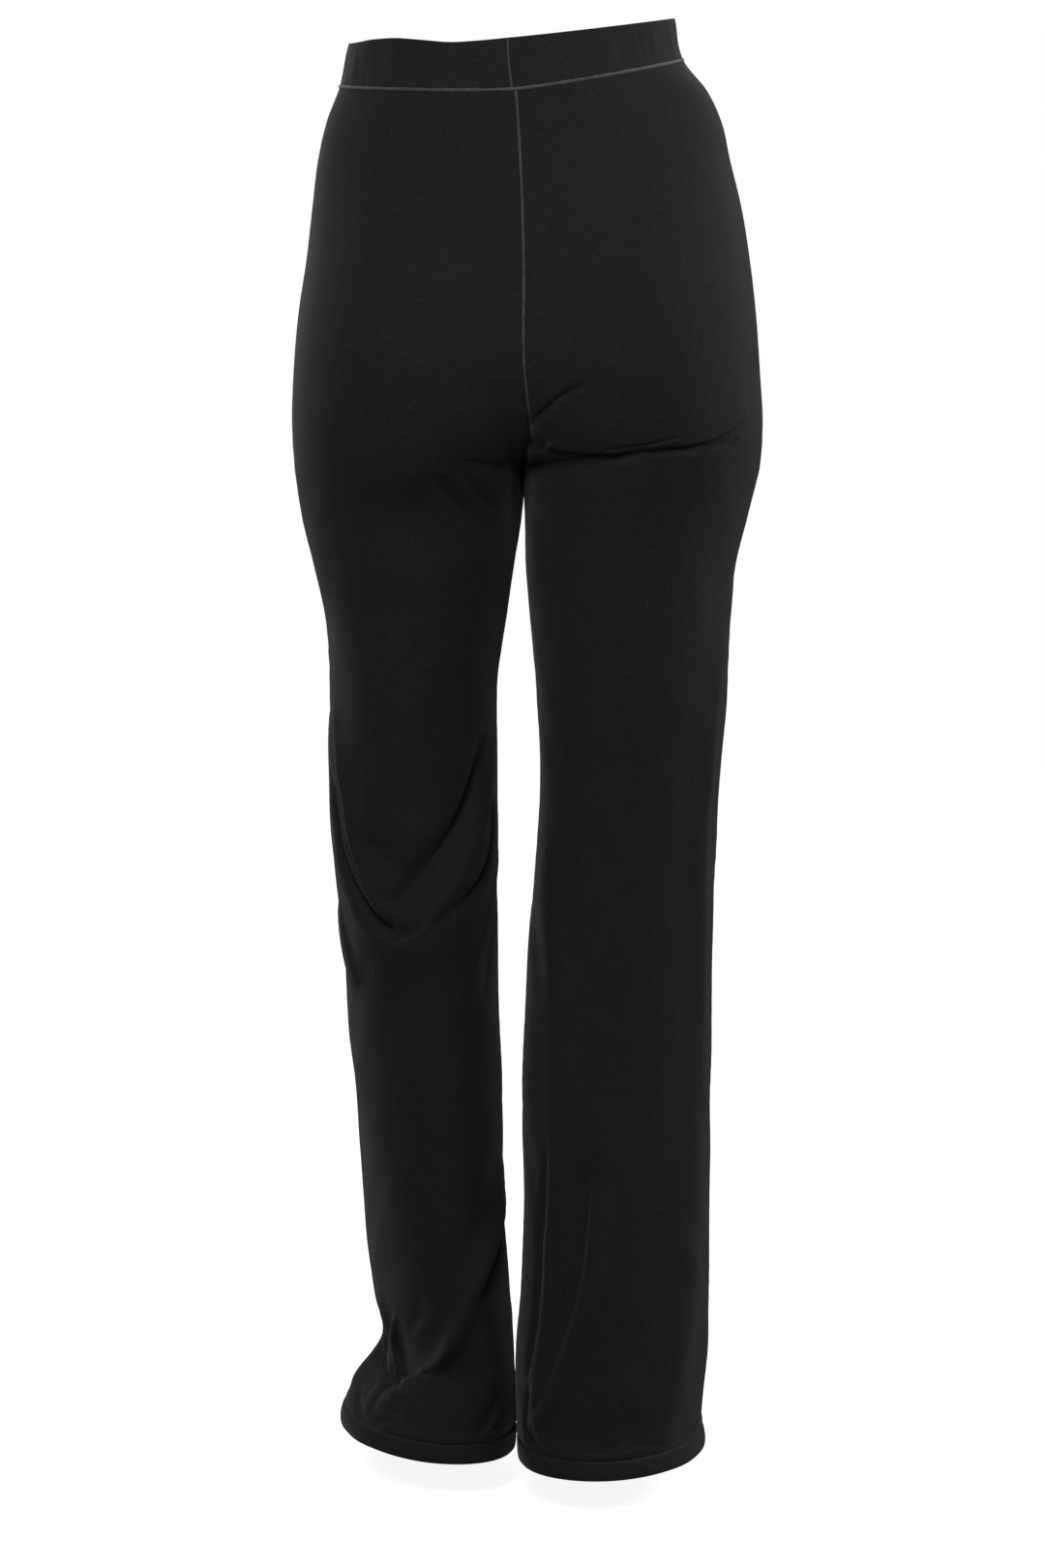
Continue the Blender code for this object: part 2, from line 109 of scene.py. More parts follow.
# One row for each section: drop, out, in, back, front, turn of the section in degrees.
COLUMNS = ("drop", "out", "in", "back", "front", "turn")
SECTIONS = {
    "left": (
        (-0.035, 0.1225, 0.0, 0.090, -0.092, 0),
        (-0.013, 0.1265, 0.0, 0.091, -0.093, 0),
        (0.019, 0.1333, 0.0, 0.095, -0.096, 0),
        (0.045, 0.1432, 0.0, 0.100, -0.099, 0),
        (0.075, 0.1502, 0.0, 0.107, -0.102, 0),
        (0.110, 0.1545, 0.0, 0.117, -0.104, 0),
        (0.150, 0.1590, 0.0, 0.129, -0.104, 0),
        (0.190, 0.1650, 0.0, 0.138, -0.103, 0),
        (0.235, 0.1690, 0.0, 0.140, -0.100, 0),
        (0.280, 0.1705, -0.0088, 0.131, -0.098, 0),
        (0.310, 0.1690, -0.0082, 0.115, -0.101, 0),
        (0.335, 0.1662, -0.0070, 0.095, -0.106, 0),
        (0.350, 0.1640, -0.0055, 0.089, -0.108, 0),
        (0.385, 0.1565, 0.0000, 0.081, -0.110, 0),
        (0.430, 0.1470, 0.0070, 0.069, -0.112, 0),
        (0.480, 0.1435, 0.0130, 0.058, -0.113, 0),
        (0.540, 0.1425, 0.0140, 0.049, -0.117, 0),
        (0.610, 0.1405, 0.0140, 0.045, -0.123, 2),
        (0.680, 0.1350, 0.0137, 0.048, -0.131, 4),
        (0.750, 0.1315, 0.0116, 0.052, -0.137, 7),
        (0.820, 0.1255, 0.0098, 0.054, -0.143, 10),
        (0.890, 0.1210, 0.0090, 0.054, -0.150, 12),
        (0.950, 0.1170, 0.0050, 0.053, -0.155, 14),
        (0.985, 0.1116, 0.0020, 0.052, -0.158, 15),
        (1.003, 0.1062, 0.0008, 0.051, -0.159, 16),
        (1.018, 0.1052, 0.0002, 0.051, -0.161, 17),
        (1.034, 0.1125, -0.0005, 0.051, -0.163, 17),
        (1.050, 0.1262, -0.0008, 0.052, -0.165, 18),
        (1.070, 0.1360, -0.0008, 0.054, -0.168, 18),
        (1.090, 0.1375, -0.0005, 0.056, -0.170, 18),
    ),
    "right": (
        (-0.035, 0.1215, 0.0, 0.090, -0.092, 0),
        (0.000, 0.1290, 0.0, 0.093, -0.094, 0),
        (0.022, 0.1465, 0.0, 0.096, -0.097, 0),
        (0.045, 0.1575, 0.0, 0.100, -0.099, 0),
        (0.075, 0.1645, 0.0, 0.107, -0.102, 0),
        (0.110, 0.1730, 0.0, 0.117, -0.104, 0),
        (0.150, 0.1795, 0.0, 0.129, -0.104, 0),
        (0.190, 0.1842, 0.0, 0.138, -0.103, 0),
        (0.235, 0.1875, 0.0, 0.140, -0.100, 0),
        (0.280, 0.1900, 0.0090, 0.131, -0.098, 0),
        (0.310, 0.1880, 0.0084, 0.118, -0.098, 0),
        (0.335, 0.1820, 0.0072, 0.109, -0.095, 0),
        (0.350, 0.1785, 0.0077, 0.105, -0.094, 0),
        (0.385, 0.1705, 0.0084, 0.099, -0.093, 0),
        (0.430, 0.1665, 0.0125, 0.094, -0.090, 0),
        (0.480, 0.1645, 0.0160, 0.088, -0.086, 0),
        (0.540, 0.1605, 0.0200, 0.082, -0.084, 0),
        (0.610, 0.1560, 0.0165, 0.078, -0.083, 0),
        (0.680, 0.1545, 0.0110, 0.078, -0.083, 1),
        (0.750, 0.1535, 0.0068, 0.080, -0.085, 2),
        (0.820, 0.1533, 0.0060, 0.084, -0.088, 4),
        (0.890, 0.1527, 0.0067, 0.089, -0.094, 6),
        (0.950, 0.1532, 0.0052, 0.094, -0.100, 8),
        (1.000, 0.1522, 0.0008, 0.097, -0.104, 10),
        (1.030, 0.1502, 0.0002, 0.099, -0.106, 11),
        (1.050, 0.1487, 0.0008, 0.100, -0.108, 12),
        (1.070, 0.1477, 0.0018, 0.103, -0.111, 12),
        (1.090, 0.1477, 0.0026, 0.106, -0.114, 12),
    ),
}

# The largest folds, which the solids have too, some of them deeper there: (height,
# above, below, points).  Each is a ridge, or a trough where its height is below 0,
# that follows points (degrees, drop).  "above" and "below" are the widths of its two
# slopes on a fold drawn from the side seam inwards; on one drawn downwards, its
# inner and outer slopes.
FOLDS = {
    "left": (
        (0.0080, 0.024, 0.042, ((170, 0.500), (159, 0.540), (145, 0.597), (125, 0.642), (104, 0.671),
            (84, 0.659), (66, 0.630), (50, 0.603), (28, 0.583), (8, 0.572))),
        (-0.0045, 0.014, 0.010, ((22, 0.530), (42, 0.556), (62, 0.592), (80, 0.612), (100, 0.618),
            (122, 0.596))),
        (-0.0014, 0.014, 0.020, ((150, 0.672), (124, 0.700), (104, 0.712), (84, 0.702), (60, 0.668),
            (40, 0.640))),
        (0.0050, 0.014, 0.014, ((166, 0.655), (152, 0.690), (136, 0.716))),
        (0.0050, 0.040, 0.040, ((110, 0.420), (107, 0.500), (103, 0.600))),
        (-0.0035, 0.013, 0.013, ((84, 0.318), (64, 0.340), (44, 0.362))),
        (0.0080, 0.016, 0.013, ((14, 0.850), (29, 0.892), (45, 0.928), (58, 0.976), (76, 1.016),
            (105, 1.042), (124, 1.044))),
        (-0.0016, 0.012, 0.012, ((124, 0.986), (120, 1.018), (100, 1.022), (80, 1.000), (68, 0.968))),
        (0.0045, 0.012, 0.014, ((140, 0.965), (138, 1.005), (128, 1.030))),
        (-0.0012, 0.012, 0.014, ((112, 0.975), (118, 1.005), (119, 1.040))),
        (0.0060, 0.018, 0.018, ((152, 1.014), (168, 1.036), (180, 1.056))),
        (0.0050, 0.014, 0.014, ((300, 0.400), (286, 0.520), (282, 0.620))),
        (-0.0050, 0.014, 0.014, ((210, 0.700), (250, 0.676), (300, 0.690), (338, 0.730))),
        (0.0060, 0.018, 0.016, ((236, 0.700), (240, 0.820), (230, 0.940), (215, 1.050))),
        (0.0060, 0.018, 0.018, ((312, 0.760), (318, 0.880), (326, 1.050))),
        (-0.0070, 0.014, 0.016, ((235, 1.000), (270, 1.014), (310, 1.004))),
    ),
    "right": (
        (-0.0035, 0.013, 0.013, ((10, 0.292), (35, 0.299), (54, 0.303), (79, 0.305), (105, 0.306),
            (130, 0.303))),
        (0.0055, 0.018, 0.014, ((30, 0.600), (40, 0.650), (54, 0.735), (55, 0.825), (48, 0.920),
            (40, 1.060))),
        (0.0060, 0.018, 0.013, ((84, 0.790), (80, 0.840), (74, 0.895), (65, 0.962), (56, 1.010),
            (38, 1.060))),
        (-0.0035, 0.016, 0.016, ((68, 0.800), (66, 0.870), (58, 0.950), (48, 1.020))),
        (0.0050, 0.014, 0.014, ((166, 0.400), (146, 0.479), (141, 0.566), (144, 0.660), (148, 0.730),
            (152, 0.790))),
        (0.0055, 0.020, 0.020, ((148, 0.780), (136, 0.900), (124, 1.010), (114, 1.066))),
        (0.0050, 0.020, 0.020, ((300, 0.420), (296, 0.560), (306, 0.700))),
        (0.0060, 0.020, 0.018, ((246, 0.640), (238, 0.800), (226, 1.050))),
        (0.0060, 0.018, 0.018, ((306, 0.720), (314, 0.880), (322, 1.050))),
        (-0.0060, 0.014, 0.014, ((238, 1.000), (272, 1.012), (306, 1.000))),
    ),
}

# The smaller creases, of the same form, along points (degrees, down).
CREASES = {
    "left": (
        # behind the knee: rims, troughs and the crest of the hanging fold
        (0.0024, 0.0090, 0.0024, ((158, 0.500), (149, 0.5269), (145, 0.5453), (140, 0.5619), (136, 0.5803),
            (132, 0.5970), (127, 0.6103), (122, 0.6236), (118, 0.6336), (113, 0.6419), (105, 0.6517))),
        (-0.0085, 0.0036, 0.0065, ((153, 0.550), (149, 0.5754), (145, 0.5921), (141, 0.6088),
            (135, 0.6222), (128, 0.6355), (121, 0.6471), (115, 0.6560), (107, 0.6630), (98, 0.6650))),
        (-0.0068, 0.0080, 0.0017, ((128, 0.642), (115, 0.6590), (107, 0.6655), (99, 0.6703), (91, 0.6668),
            (82, 0.655))),
        (0.0026, 0.0018, 0.0110, ((134, 0.642), (122, 0.6537), (115, 0.6619), (107, 0.6684), (99, 0.6732),
            (91, 0.6697), (84, 0.6612))),
        (0.0022, 0.0080, 0.0028, ((102, 0.6735), (91, 0.6697), (84, 0.6612), (75, 0.6461), (65, 0.6297),
            (56, 0.6099), (46, 0.5933), (37, 0.5784), (25, 0.5617), (14, 0.540))),
        (-0.0045, 0.0034, 0.0070, ((78, 0.6600), (72, 0.6530), (61, 0.6432), (50, 0.6333), (40, 0.6217),
            (33, 0.6050), (30, 0.5867), (26, 0.568))),
        (-0.0100, 0.0105, 0.0034, ((112, 0.640), (101, 0.6433), (97, 0.6399), (85, 0.6249), (72, 0.6083),
            (61, 0.5916), (50, 0.5733), (42, 0.5566), (38, 0.5399), (33, 0.518))),
        (0.0010, 0.0060, 0.0024, ((52, 0.5749), (44, 0.5599), (38, 0.5399), (35, 0.5250), (34, 0.5071))),
        (-0.0006, 0.0030, 0.0030, ((126, 0.600), (121, 0.600), (114, 0.600))),
        (-0.0007, 0.0034, 0.0040, ((116, 0.609), (108, 0.612), (100, 0.609), (92, 0.604), (84, 0.600),
            (77, 0.596))),
        (0.0014, 0.0040, 0.0040, ((156, 0.640), (152, 0.668), (146, 0.684), (140, 0.697), (136, 0.712))),
        (0.0018, 0.0034, 0.0060, ((6, 0.612), (19, 0.6317), (24, 0.6433), (31, 0.6567), (35, 0.6667),
            (41, 0.6784), (48, 0.6917), (54, 0.708))),
        (-0.0014, 0.0060, 0.0060, ((12, 0.655), (24, 0.680), (34, 0.700), (42, 0.722))),
        # the flare and the hem
        (0.0030, 0.0070, 0.0024, ((114, 1.046), (106, 1.0391), (95, 1.0275), (78, 1.0109), (69, 0.9997),
            (64, 0.9863), (59, 0.9697), (56, 0.9529), (50, 0.9380), (44, 0.9203), (34, 0.8998),
            (22, 0.8764))),
        (-0.0060, 0.0034, 0.0120, ((80, 1.0240), (70, 1.0140), (62, 1.0010), (57, 0.9863), (53, 0.9660),
            (47, 0.9460), (38, 0.9260), (30, 0.908))),
        (0.0012, 0.0034, 0.0034, ((22, 0.880), (32, 0.896), (38, 0.909), (44, 0.926))),
        (-0.0014, 0.0024, 0.0024, ((58, 0.992), (58, 1.003), (60, 1.017))),
        (0.0024, 0.0030, 0.0034, ((112, 0.974), (124, 0.989), (130, 1.000), (131, 1.009), (129, 1.018),
            (126, 1.024), (123, 1.032), (117, 1.038))),
        (-0.0022, 0.0036, 0.0036, ((131, 1.028), (122, 1.039), (110, 1.042))),
        (-0.0052, 0.0026, 0.0032, ((102, 1.0385), (112, 1.0368), (118, 1.0331), (117, 1.0290),
            (106, 1.0260), (90, 1.0225), (78, 1.0195))),
        (-0.0030, 0.0030, 0.0040, ((160, 1.0200), (150, 1.0265), (140, 1.0315), (129, 1.0358),
            (113, 1.0396))),
        (0.0018, 0.0030, 0.0030, ((156, 1.018), (146, 1.032), (134, 1.039), (123, 1.046))),
        (0.0022, 0.0090, 0.0090, ((137, 1.049), (126, 1.054))),
        (-0.0026, 0.0044, 0.0050, ((154, 1.052), (142, 1.0635), (128, 1.068), (115, 1.0645), (106, 1.058),
            (96, 1.046))),
        (0.0010, 0.0024, 0.0024, ((92, 1.050), (95, 1.060), (95, 1.070))),
        (-0.0030, 0.0036, 0.0040, ((36, 1.034), (41, 1.046), (45, 1.057), (52, 1.065))),
        (-0.0016, 0.0030, 0.0030, ((30, 1.046), (36, 1.058), (43, 1.066))),
        (0.0014, 0.0030, 0.0024, ((48, 1.0660), (41, 1.0590), (37, 1.0440), (35, 1.0303))),
        (0.0012, 0.0070, 0.0070, ((66, 0.938), (76, 0.964), (88, 0.984), (102, 1.000))),
        (-0.0012, 0.0060, 0.0060, ((84, 0.948), (92, 0.972), (103, 0.990))),
        # under the seat
        (-0.0044, 0.0055, 0.0060, ((80, 0.309), (65, 0.334), (46, 0.360))),
        (-0.0036, 0.0045, 0.0050, ((69, 0.300), (56, 0.322), (40, 0.345))),
        (-0.0045, 0.0140, 0.0140, ((15, 0.235), (18, 0.270), (22, 0.305), (22, 0.370))),
        (-0.0070, 0.0044, 0.0050, ((3, 0.288), (6, 0.300), (8, 0.312), (7, 0.330))),
        # front
        (-0.0016, 0.0050, 0.0050, ((352, 0.240), (330, 0.222), (306, 0.198))),
        (-0.0013, 0.0050, 0.0050, ((350, 0.268), (322, 0.256), (292, 0.232))),
        (-0.0012, 0.0060, 0.0060, ((346, 0.300), (316, 0.296), (284, 0.276))),
        (0.0016, 0.0080, 0.0060, ((222, 0.640), (250, 0.650), (284, 0.648))),
        (-0.0014, 0.0050, 0.0050, ((206, 0.600), (226, 0.612), (248, 0.612))),
        (-0.0022, 0.0050, 0.0060, ((214, 0.980), (246, 0.996), (282, 0.994))),
        (0.0020, 0.0060, 0.0040, ((226, 1.014), (258, 1.028), (298, 1.022))),
        (-0.0024, 0.0040, 0.0050, ((232, 1.036), (264, 1.046), (306, 1.036))),
        (0.0014, 0.0040, 0.0040, ((330, 0.980), (322, 1.020), (318, 1.060))),
    ),
    "right": (
        # under the seat
        (-0.0050, 0.0016, 0.0040, ((34, 0.2375), (27, 0.2410), (20, 0.2470), (14, 0.2545), (7, 0.2640),
            (1, 0.2710))),
        (0.0032, 0.0260, 0.0018, ((146, 0.2640), (131, 0.2730), (122, 0.2790), (112, 0.2845), (99, 0.2868),
            (86, 0.2900), (71, 0.2925), (54, 0.2930), (33, 0.2915), (17, 0.2895), (4, 0.2885))),
        (-0.0040, 0.0016, 0.0026, ((135, 0.2710), (129, 0.2752), (122, 0.2810), (111, 0.2863),
            (99, 0.2885), (83, 0.2910), (71, 0.2935), (60, 0.2940), (47, 0.2938), (27, 0.2910),
            (12, 0.2890))),
        (-0.0060, 0.0022, 0.0090, ((-4, 0.2835), (3, 0.2866), (9, 0.2885), (16, 0.2895), (24, 0.2905))),
        (-0.0026, 0.0016, 0.0024, ((100, 0.2790), (93, 0.2814), (85, 0.2849), (74, 0.2870),
            (62, 0.2901))),
        (-0.0028, 0.0014, 0.0022, ((104, 0.2840), (99, 0.2854), (93, 0.2871), (83, 0.2890),
            (74, 0.2905))),
        (-0.0030, 0.0018, 0.0028, ((118, 0.2830), (109, 0.2868), (98, 0.2915), (89, 0.2930), (76, 0.2957),
            (61, 0.2967), (46, 0.2990))),
        (-0.0030, 0.0018, 0.0026, ((88, 0.2950), (77, 0.2965), (67, 0.3008), (57, 0.3059))),
        (-0.0018, 0.0020, 0.0026, ((136, 0.2820), (133, 0.2849), (122, 0.2868), (107, 0.2931))),
        (0.0013, 0.0050, 0.0050, ((11, 0.300), (11, 0.325), (10, 0.352))),
        (0.0040, 0.0050, 0.0050, ((345, 0.283), (345, 0.315), (345, 0.3475))),
        (-0.0007, 0.0050, 0.0050, ((78, 0.0815), (51, 0.0925), (28, 0.103))),
        # down the leg
        (0.0017, 0.0020, 0.0070, ((52, 0.740), (56, 0.790), (54, 0.832), (51, 0.868), (47.5, 0.909),
            (46.5, 0.947), (45.5, 0.974), (44, 1.000), (42.5, 1.016), (39, 1.034))),
        (-0.0055, 0.0060, 0.0030, ((47, 0.832), (43, 0.8706), (40, 0.9117), (38.5, 0.9498), (37.5, 0.9841),
            (34, 1.0154))),
        (0.0026, 0.0022, 0.0085, ((82, 0.800), (79, 0.832), (77, 0.859), (74.5, 0.897), (72.5, 0.929),
            (67.5, 0.9646), (61.5, 0.9943), (54.5, 1.0212), (47, 1.0361), (39, 1.048))),
        (-0.0048, 0.0075, 0.0028, ((73, 0.840), (72, 0.8647), (69.5, 0.9027), (67, 0.9291), (62, 0.9602),
            (55.5, 0.9914), (49, 1.018))),
        (0.0014, 0.0026, 0.0040, ((58, 1.006), (53, 1.0226), (49, 1.036), (44, 1.046))),
        (0.0008, 0.0050, 0.0050, ((164, 0.420), (150, 0.470), (142, 0.540), (142, 0.620), (146, 0.700))),
        # the hem
        (-0.0040, 0.0030, 0.0036, ((37, 1.0160), (33, 1.0330), (29, 1.0541), (35, 1.0630), (45, 1.0674),
            (58, 1.0689))),
        (0.0018, 0.0026, 0.0026, ((42, 1.0406), (44, 1.0525), (50, 1.0599), (57, 1.0644))),
        (-0.0008, 0.0024, 0.0024, ((58, 1.0490), (50, 1.0510))),
        (-0.0012, 0.0030, 0.0030, ((76, 1.0680), (81, 1.0605), (88, 1.0580))),
        (-0.0022, 0.0040, 0.0050, ((158, 1.0600), (146, 1.0640), (130, 1.0670), (112, 1.0660),
            (102, 1.0680))),
        (-0.0010, 0.0060, 0.0060, ((98, 1.0300), (94, 1.0480), (96, 1.0640))),
        # front
        (-0.0016, 0.0050, 0.0050, ((352, 0.246), (328, 0.226), (302, 0.196))),
        (-0.0012, 0.0050, 0.0050, ((350, 0.276), (320, 0.262), (290, 0.236))),
        (-0.0013, 0.0050, 0.0050, ((208, 0.560), (236, 0.576), (270, 0.572))),
        (0.0012, 0.0070, 0.0050, ((216, 0.604), (248, 0.614), (286, 0.606))),
        (-0.0018, 0.0050, 0.0060, ((222, 1.016), (254, 1.028), (292, 1.020))),
        (0.0014, 0.0050, 0.0040, ((228, 1.044), (262, 1.052), (300, 1.044))),
    ),
}

# The low swells of cloth that no fold explains: (height, degrees a wave, metres a
# wave, phase).
SWELLS = (
    (0.00036, 71.0, 0.131, 0.4),
    (0.00020, 43.0, -0.083, 2.1),
    (0.00010, -29.0, 0.057, 4.4),
)
SWELLS_START = (0.300, 0.380)

# The pinches between the legs: depth, down, reach above and below, and degrees each way
PINCHES = ((0.0020, 0.287, 0.022, 0.013, 7.0), (0.0085, 0.282, 0.011, 0.018, 1.8))

# The waistband's top edge, which isn't quite even: (degrees, rise) on the left half.
BAND_EDGE = (
    (0, 0.0000), (25, -0.0010), (48, -0.0012), (72, 0.0012), (98, 0.0033), (118, 0.0030),
    (150, 0.0008), (180, 0.0000), (360, 0.0000),
)
BAND_BULGE = 0.0004       # roundness of the waistband over its elastic
BAND_RIPPLE = 0.00022     # height of the elastic's ripples
BAND_SEAM_TOP = 1.1       # degrees left of the centre seam where the band's own seam starts
BAND_SEAM_FOOT = 2.9      # and where it meets the waist seam

# The waistband's ripples: waves round it, their drift (size, waves), their groups
# (least, swing, waves), and slanting ones (height, waves, slant, phase)
FINE_RIPPLE = 61
RIPPLE_DRIFT = (1.3, 7)
RIPPLE_GROUPS = (0.55, 0.45, 5)
SLANTING_RIPPLES = ((0.8, 29, 2.6, 0.9), (0.9, 17, -4.0, 2.0))
RIPPLE_SPAN = (0.12, 0.92)    # shares of half a sine wave where the ripples start and end

SEAM_DIP = 0.0005         # how far a stitched seam draws the cloth in
SEAM_REACH = 0.0014       # and how far from the seam
PUCKER = 0.00016          # height of the puckers beside a seam
PUCKER_REACH = 0.0060
INSIDE_PUCKER = 0.6       # share of it at the inside seam
SEAT_PUCKER = 0.3         # and above the fork
PUCKER_LENGTH = 0.0023    # metres for a radian of the puckers' wave
PUCKER_DRIFT = (1.7, 0.021)       # how far the wave drifts, and metres for a radian of that
PUCKER_GROUPS = (0.047, 0.8)      # metres for a radian of their groups, and phase
HEM_DRAW = 0.0017         # how far the hem's seam draws in the cloth above it
HEM_DRAW_REACH = 0.0018
HEM_SWELL = 0.0006        # height of the swell above that
HEM_SWELL_AT = 0.0052
HEM_SWELL_REACH = 0.0030
HEM_DIP = 0.0003          # how far the inside seam draws in the hem
HEM_BULGE = 0.00045       # roundness of the turned hem
FOLD_TURNS = 8            # points round the fold of a folded strip
BULGE_POWER = 0.7         # power of the half sine wave that rounds a folded strip
INNER_BULGE = 0.4         # share of that roundness on its inner face
WAIST_SEAM_SIZE = (0.0024, 0.0009)      # width and height of each raised seam
CENTRE_SEAM_SIZE = (0.0021, 0.0008)
BAND_SEAM_SIZE = (0.0017, 0.0006)
CENTRE_SEAM_SINK = 0.0022     # the cloth closes over the centre seam under the seat
CENTRE_SEAM_SINKS = (0.256, 0.269)
HEM_SEAM_SIZE = (0.0020, 0.0006)
HEM_SEAM_SINK = 0.0011    # the hem's seam lies in a groove this deep
SEAM_ROUND = 10           # points round a raised seam
SEAM_TIP = 1e-3           # share of the seam's width left at its ends, squared
LONG_TURNS = (0.10, 0.0061)       # a seam's unevenness, and metres for a radian of it
LONG_TURNS_DRIFT = (1.9, 0.017)
SHORT_TURNS = (0.06, 0.0019)
BAND_SEAM_ROWS = 30
SEAM_STEP = 0.0015        # height between the rows on which the waist seam is laid
THREAD = 0.00022          # radius of a stitch
STITCH = 0.0026           # its length
STITCH_PITCH = 0.0034
STITCH_AHEAD = 0.0005     # how far ahead a stitch's direction is read
STITCH_RINGS = (-1.0, -0.82, -0.3, 0.3, 0.82, 1.0)
STITCH_ROUND = 6          # points round a stitch
STITCH_LIFT = 0.3         # share of its radius that a stitch lies above its path
STITCH_RAISE = 0.0003     # and that path above the hem's grid
STITCH_ROWS = (1.0742, 1.0768)

WALE = 0.0011             # width of one rib of the knit
COURSE = 0.0009           # height of one row of loops
RIBS = 0.30               # shares of the knit's fine relief
LOOPS = 0.14
FIBRES = (1300.0, 3.0, 0.9)       # scale and detail of a noise, and its share
SOFTNESS = (260.0, 2.0, 1.6)
BROAD_MOTTLE = (30.0, 3.0, 0.15)
FINE_MOTTLE = (330.0, 3.0, 0.85)
MOTTLE_STRETCH = 3.2      # the fine mottle is this much shorter up and down
MIDDLE_TONES = (0.34, 0.66)       # between these a noise goes from dark to light
JERSEY_TONES = (0.74, 1.30)       # darkest and lightest cloth, as shares of its colour
THREAD_TONES = (0.72, 1.25)

CAMERA_AT = (-0.006, 4.30, 0.03)
CAMERA_TO = (-0.006, 0.0, -0.557)
LENS = 128.4
SENSOR = 36.0
FLOOR_HEIGHT = -1.115
FLOOR_SIZE = 60.0
FLOOR_TONE = 0.40
FLOOR_GLOW = 0.9
SURROUND_LIGHT = 0.24     # how strongly the white surround lights the cloth

# Soft square lights: (name, place, point it faces, watts, width)
LIGHTS = (
    ("high_light", (0.25, 1.9, 0.8), (0.0, 0.0, -0.24), 39.0, 0.8),
    ("right_light", (-2.0, -0.15, 0.5), (0.0, 0.0, -0.3), 38.0, 0.9),
    ("left_light", (1.3, -0.75, 0.3), (0.1, 0.0, -0.2), 7.0, 0.6),
    ("front_light", (0.4, -2.4, 1.2), (0.0, 0.0, -0.4), 13.0, 1.4),
)


def ease(value, span):
    """Rises smoothly from 0 to 1 as the value crosses the span: 3t squared less 2t cubed."""
    t = np.clip((value - span[0]) / (span[1] - span[0]), 0.0, 1.0)
    return t * t * (3.0 - 2.0 * t)


def bell(distance, reach):
    """A bell curve, 1 at no distance: e to the minus (distance over reach) squared."""
    return np.exp(-((distance / reach) ** 2))


def from_inside(degrees):
    """Degrees to the inside seam, by the nearer way round."""
    return np.minimum(degrees, 360.0 - degrees)


def lengths(path):
    """Length along a path of points from its first point to each."""
    return np.concatenate([[0.0], np.cumsum(np.linalg.norm(np.diff(path, axis=0), axis=1))])


def curve_through(at, known, values):
    """Cubic through (known, values) whose slope at each is the mean slope beside it."""
    known, values = np.asarray(known, float), np.asarray(values, float)
    slopes = np.gradient(values, known)
    at = np.clip(at, known[0], known[-1])
    left = np.clip(np.searchsorted(known, at) - 1, 0, len(known) - 2)
    width = known[left + 1] - known[left]
    t = (at - known[left]) / width
    return (
        values[left] * (1 + 2 * t) * (1 - t) ** 2
        + values[left + 1] * t * t * (3 - 2 * t)
        + width * slopes[left] * t * (1 - t) ** 2
        - width * slopes[left + 1] * t * t * (1 - t)
    )


def size(side, name, drop):
    """A column of that side's sections, at any drops."""
    rows = np.array(SECTIONS[side])
    return curve_through(drop, rows[:, 0], rows[:, COLUMNS.index(name)])


def inner_edge(side, drop, gap):
    """The centre seam above the fork and the leg's inner side below it, measured outwards."""
    line = np.array(CENTRE)
    seam = SIDES[side] * curve_through(drop, line[:, 0], line[:, 1]) + gap / 2
    return np.where(drop > FORK, size(side, "in", drop), seam)


def sections(side, rows, gap):
    """Rows of cloth from centre back round the side to centre front.

    rows holds (centre drop, side drop, closing).  At the waist a row is half an
    oval: x = inner + (out - inner) sin t, y = middle + depth cos t.  At the seat
    it fills out to the outer half of a leg's ring with a flat stretch to the
    centre, and closing turns that stretch under to make the ring whole.  A leg's
    ring is an oval, x = -across cos a, y = depth sin a, turned by its twist.
    """
    centre_drop, side_drop, closing = (rows[:, k, None] for k in range(3))
    turned = np.linspace(0.0, np.pi, 4 * FINE + 1)
    waist = 1.0 - ease(centre_drop, (0.0, SEAT_START))
    power = SIDE_POWER + (WAIST_POWER - SIDE_POWER) * waist
    drop = centre_drop + (side_drop - centre_drop) * np.sin(turned) ** power
    on_front = turned > np.pi / 2
    drop = drop + np.where(on_front, FRONT_DIP * waist * np.cos(turned) ** 2, 0.0)
    tilt = HIP_TILT * (1.0 - ease(centre_drop, TILT_FADES))
    low_side = side_drop + SIDES[side] * tilt * size(side, "out", side_drop)
    out, inner = size(side, "out", low_side), inner_edge(side, centre_drop, gap)
    back, front = size(side, "back", drop), size(side, "front", drop)
    middle, depth = (back + front) / 2, (back - front) / 2

    twist = np.radians(size(side, "turn", drop))
    half = (out - inner) / 2
    across = np.sqrt(half**2 - (depth * np.sin(twist)) ** 2) / np.cos(twist)
    round_leg = 2 * turned + np.arctan2(depth * np.sin(twist), across * np.cos(twist))
    flat = np.where(np.abs(np.cos(turned)) > np.sqrt(0.5), 1.0 - closing, 0.0) * np.sign(np.cos(turned))
    wide = -across * np.cos(round_leg)
    long = depth * (np.sin(round_leg) + flat * (1.0 - np.abs(np.sin(round_leg))))
    leg_x = (out + inner) / 2 + wide * np.cos(twist) - long * np.sin(twist)
    leg_y = middle + long * np.cos(twist) + wide * np.sin(twist)

    seat = ease(centre_drop, WAIST_TO_SEAT)
    x = (1 - seat) * (inner + (out - inner) * np.sin(turned)) + seat * leg_x
    y = (1 - seat) * (middle + depth * np.cos(turned)) + seat * leg_y
    lift = FRONT_LIFT * ease(centre_drop, FRONT_LIFTS)
    z = -drop - SIDES[side] * tilt * x + np.where(on_front, lift * np.sin(2 * turned) ** 2, 0.0)
    return np.stack([SIDES[side] * x, y, z], axis=2)


